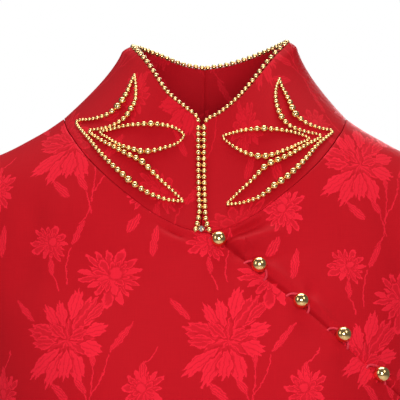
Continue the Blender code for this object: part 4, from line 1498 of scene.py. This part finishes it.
def cord_material():
    made, tree, shader = new_material("rouleau_satin")
    places = tree.nodes.new("ShaderNodeTexCoord")
    threads = noise(tree, places.outputs["Object"], 1500.0, 3.0)
    colour = mixed(tree, threads, (0.50, 0.014, 0.030), (0.78, 0.045, 0.075))
    tree.links.new(colour, shader.inputs["Base Color"])
    tree.links.new((threads * 0.2 + 0.38).socket, shader.inputs["Roughness"])
    shader.inputs["Specular Tint"].default_value = (1.0, 0.3, 0.35, 1)
    bumped(tree, shader, threads, 0.4, 0.0002)
    return made


def metal(name, colour, deep, roughness):
    """Polished plate with faint rubbing and slightly deeper colour in patches."""
    made, tree, shader = new_material(name)
    places = tree.nodes.new("ShaderNodeTexCoord")
    patches = noise(tree, places.outputs["Object"], 420.0, 3.0)
    rubbing = noise(tree, places.outputs["Object"], 2600.0, 2.0)
    tree.links.new(mixed(tree, patches, deep, colour), shader.inputs["Base Color"])
    tree.links.new((rubbing * 0.10 + roughness).socket, shader.inputs["Roughness"])
    shader.inputs["Metallic"].default_value = 1.0
    bumped(tree, shader, rubbing, 0.05, 0.0002)
    return made


def crystal():
    made, tree, shader = new_material("grey_stone")
    places = tree.nodes.new("ShaderNodeTexCoord")
    clouds = noise(tree, places.outputs["Object"], 900.0, 3.0)
    tree.links.new(mixed(tree, clouds, (0.62, 0.64, 0.64), (0.93, 0.95, 0.94)), shader.inputs["Base Color"])
    shader.inputs["Roughness"].default_value = 0.08
    shader.inputs["Metallic"].default_value = 0.8
    return made


# The scene


def add_light(name, place, target, size, power, colour=(1, 1, 1)):
    lamp = bpy.data.lights.new(name, "AREA")
    lamp.shape = "RECTANGLE"
    lamp.size, lamp.size_y = size
    lamp.energy = power
    lamp.color = colour
    made = bpy.data.objects.new(name, lamp)
    made.location = place
    made.rotation_mode = "QUATERNION"
    made.rotation_quaternion = (Vector(target) - Vector(place)).to_track_quat("-Z", "Y")
    bpy.context.scene.collection.objects.link(made)


def add_surroundings():
    """The camera, a pale floor, a white background and soft studio lights."""
    scene = bpy.context.scene
    scene.view_settings.view_transform = "Standard"
    camera = bpy.data.cameras.new("camera")
    camera.sensor_width = 36.0
    camera.lens = 36.0 * VIEW_DISTANCE / VIEW_ACROSS
    ahead = Vector((0, math.cos(VIEW_TILT), math.sin(VIEW_TILT)))
    made = bpy.data.objects.new("camera", camera)
    made.location = Vector(VIEW_CENTRE) - ahead * VIEW_DISTANCE
    made.rotation_mode = "QUATERNION"
    made.rotation_quaternion = ahead.to_track_quat("-Z", "Y")
    scene.collection.objects.link(made)
    scene.camera = made

    world = bpy.data.worlds.new("studio")
    world.use_nodes = True
    tree = world.node_tree
    tree.nodes.clear()
    lit = tree.nodes.new("ShaderNodeBackground")
    lit.inputs["Color"].default_value = (1, 1, 1, 1)
    lit.inputs["Strength"].default_value = 0.15
    shown = tree.nodes.new("ShaderNodeBackground")
    shown.inputs["Color"].default_value = (1, 1, 1, 1)
    shown.inputs["Strength"].default_value = 1.0
    path = tree.nodes.new("ShaderNodeLightPath")
    either = tree.nodes.new("ShaderNodeMixShader")
    out = tree.nodes.new("ShaderNodeOutputWorld")
    tree.links.new(path.outputs["Is Camera Ray"], either.inputs[0])
    tree.links.new(lit.outputs[0], either.inputs[1])
    tree.links.new(shown.outputs[0], either.inputs[2])
    tree.links.new(either.outputs[0], out.inputs["Surface"])
    scene.world = world

    made, tree, shader = new_material("pale_floor")
    places = tree.nodes.new("ShaderNodeTexCoord")
    grain = noise(tree, places.outputs["Object"], 3.0, 4.0)
    tree.links.new(mixed(tree, grain, (0.78, 0.78, 0.77), (0.84, 0.84, 0.83)), shader.inputs["Base Color"])
    shader.inputs["Roughness"].default_value = 0.7
    size = 40.0
    corners = [(-size, -size, FLOOR), (size, -size, FLOOR), (size, size, FLOOR), (-size, size, FLOOR)]
    mesh = bpy.data.meshes.new("floor")
    mesh.from_pydata(corners, [], [(0, 1, 2, 3)])
    mesh.materials.append(made)
    floor = bpy.data.objects.new("floor", mesh)
    scene.collection.objects.link(floor)

    add_light("near", (0.08, -2.30, -0.10), (0, 0, 0), (0.80, 0.70), 36)
    add_light("key", (1.8, -1.9, 1.3), (0, 0, -0.15), (0.9, 1.2), 11)
    add_light("fill", (-2.1, -1.5, 0.6), (0, 0, -0.2), (0.8, 1.4), 9)
    add_light("top", (0.0, 0.0, 1.8), (0, 0, -0.1), (1.8, 1.0), 28)
    add_light("behind", (0.6, 2.6, 0.9), (0, 0, -0.3), (1.6, 1.8), 40)


def finish_piece(made, body, slot, *nodes):
    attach(made, body)
    if nodes:
        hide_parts(*nodes)
    return made


def add_front_and_yoke(surface):
    """Returns the grids of both, the front's first column beside the placket, and both cloths."""
    right_shares = neck_shares(-NECK_REACH, COLLAR_SPLIT)
    left_shares = neck_shares(PLACKET_START, NECK_REACH)
    front = front_panel_grid(right_shares, left_shares)
    first_column = SHOULDER_STEPS + len(right_shares)
    front_normals = outward(front)
    front_flat = flat_places(front, -1)
    front_lift = crease_heights(front, FRONT_CREASES, -1)[..., None]

    yoke = under_panel_grid(left_shares, front, first_column)
    yoke_flat = flat_places(yoke, -1) + np.array(YOKE_SHIFT)
    yoke_normals = outward(yoke)
    yoke_normals[YOKE_STEPS:] = front_normals[: LAP_STEPS + 1, first_column:]
    clear = np.linalg.norm(yoke - yoke[YOKE_STEPS], axis=-1)
    clear[YOKE_STEPS:] = 0
    sink = ease(1 - (clear - BUTTON_STAND) / SINK_REACH)[..., None] * (CLOTH + LAYER_GAP)
    yoke_lift = crease_heights(yoke, FRONT_CREASES, -1)[..., None]
    yoke = yoke + yoke_normals * (yoke_lift - sink + placket_puff(yoke, clear, front, first_column))
    from_edge = np.linalg.norm(front[:, first_column:] - front[0, first_column:], axis=-1)
    front_lift[:, first_column:, 0] += EDGE_LIFT * ease(1 - from_edge / EDGE_LIFT_REACH)
    front_lift[:, first_column + 1] = front_lift[:, first_column + 2] * 0.6
    front_lift[:, first_column] = front_lift[:, first_column - 1]
    front = front + front_normals * front_lift

    front_cloth = shell("front_cloth", front, front_normals, CLOTH, CLOTH / 2, surface, front_flat)
    finish_piece(front_cloth, "root", "red_satin", "front_panel")
    yoke_cloth = shell("yoke_cloth", yoke, yoke_normals, CLOTH, SEWN_RIM, surface, yoke_flat)
    finish_piece(yoke_cloth, "root", "red_satin", "under_panel")
    return front, yoke, first_column, front_cloth, yoke_cloth


def add_seam_turnings(surface):
    seams = joined([tube(path, np.full(len(path), SEAM_RADIUS), False, 8) for path in seam_paths()])
    made = add_object("seam_turnings", *seams, surface, np.zeros((len(seams[0]), 2)))
    finish_piece(made, "root", "red_satin")


def add_back(nape, surface):
    back = back_panel_grid(nape)
    back_normals = outward(back)
    back_flat = flat_places(back, 1)
    back = back + back_normals * crease_heights(back, BACK_CREASES, 1)[..., None]
    made = shell("back_cloth", back, back_normals, CLOTH, SEWN_RIM, surface, back_flat)
    return finish_piece(made, "root", "red_satin", "back_panel")


def add_collars(nape, surface, gold, cord):
    """Both halves with their beads. Returns the cloths, the beads, and the place and facing of the stone."""
    corner = seam_points(COLLAR_SPLIT, PLACKET_START, neck_line, -1, 1)
    collars, threads, sewn = {}, [], {"right": [], "left": []}
    for side, word in ((-1, "right"), (1, "left")):
        lines = collar_lines(side)
        chart = collar_chart(side, lines)
        if side > 0:
            seam = seam_points(PLACKET_START, NECK_REACH, neck_line, -1, NECK_STEPS)
            seam = np.concatenate([corner[:1], seam])
            behind = nape[: NAPE_STEPS + 1]
        else:
            seam = seam_points(-NECK_REACH, COLLAR_SPLIT, neck_line, -1, NECK_STEPS)[::-1]
            behind = nape[NAPE_STEPS:][::-1]
        _, turns = joined_base(seam, behind)
        grid = collar_grid(side, turns, lines)
        normals = outward(grid)
        normals[:, [0, -1], 0] = 0
        normals = unit(normals)
        around = walk(grid[COLLAR_ROWS // 2])
        rise = np.stack([walk(grid[:, k]) for k in range(len(turns))], axis=1)
        flat = np.stack([np.broadcast_to(side * around, rise.shape), rise], axis=-1)
        made = shell(f"collar_cloth_{word}", grid, normals, COLLAR_CLOTH, SEWN_RIM, surface, flat)
        collars[word] = finish_piece(made, "root", "red_satin", f"collar_{word}")

        strings = {
            f"edge_beads_{word}": (*edge_string(side, word, grid, normals, turns), False),
            f"front_beads_{word}": (*front_string(side, lines, chart, word), False),
        }
        for kind, rows in zip(("outer", "inner", "middle"), LEAVES[word]):
            closed = kind == "middle"
            strings[f"leaf_{kind}_{word}"] = (*leaf_string(side, lines, chart, rows, closed), closed)
        for name, (centres, radii, closed) in strings.items():
            made = add_beads(f"{name}_sewn", centres, radii, gold, closed)
            sewn[word].append(finish_piece(made, "root", "gold", name))
            threads.append(tube(centres, np.full(len(centres), THREAD_RADIUS), closed, 6))
        if side < 0:
            spot = collar_point(side, lines, 0.0, STONE_RISE)
            facing = collar_normal(side, lines, 0.03, STONE_RISE)
    made = add_object("bead_thread", *joined(threads), cord)
    finish_piece(made, "root", "red_cord")
    return collars, sewn, spot, facing


def add_stone(spot, facing, silver, stone):
    """The cut stone in its setting: each profile is (radius, height) pairs."""
    setting = [(0, LAYER_GAP), (0.0024, LAYER_GAP), (0.0025, 0.0010), (0.0021, 0.0013), (0, 0.0013)]
    made = add_object("stone_setting", *turned(setting, spot, facing, 24), silver, angle=30)
    finish_piece(made, "root", "silver", "hook_stone")
    cut = [(0, 0.0012), (0.0021, 0.0012), (0.0020, 0.0017), (0.0012, 0.0024), (0, 0.0024)]
    made = add_object("stone", *turned(cut, spot, facing, 8), stone, angle=10)
    finish_piece(made, "root", "silver")


def add_fastening(front, yoke, first_column, gold, cord):
    """The ball buttons, and the loop round the shank of each."""
    buttons, loops = [], []
    for k, (share, above, spread) in enumerate(zip(*BUTTONS.values())):
        edge, along, across = placket_frame(share, front, first_column)
        foot, up = on_cloth(yoke, edge + across * above)
        made = add_object(f"ball_button_{k + 1}", *ball_button(foot, up), gold)
        buttons.append(finish_piece(made, "root", "gold", f"button_{k + 1}"))
        path = loop_path(edge, along, across, foot, up, spread)
        made = add_object(f"rouleau_loop_{k + 1}", *tube(path, np.full(len(path), CORD_RADIUS)), cord)
        loops.append(finish_piece(made, "root", "red_cord", f"loop_{k + 1}"))
    return buttons, loops


def main():
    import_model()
    add_surroundings()
    flowers = woven_pattern()
    outer_satin = satin("red_satin_jacquard", flowers, OUTER_COLOURS, (0.0, 0.0))
    # The collar takes the same satin with darker colours, which are painted shade
    collar_satin_painted_shade = satin("collar_satin_painted_shade", flowers, COLLAR_SHADED_COLOURS, COLLAR_SHIFT)
    cord = cord_material()
    gold = metal("gold_plate", (0.95, 0.66, 0.31), (0.80, 0.49, 0.19), 0.09)
    silver = metal("silver_plate", (0.80, 0.80, 0.78), (0.62, 0.62, 0.60), 0.16)
    stone = crystal()

    front, yoke, first_column, front_cloth, yoke_cloth = add_front_and_yoke(outer_satin)
    add_seam_turnings(outer_satin)
    nape = seam_points(NECK_REACH, -NECK_REACH, nape_line, 1, 2 * NAPE_STEPS)
    back_cloth = add_back(nape, outer_satin)
    collars, sewn, spot, facing = add_collars(nape, collar_satin_painted_shade, gold, cord)
    add_stone(spot, facing, silver, stone)
    buttons, loops = add_fastening(front, yoke, first_column, gold, cord)


main()
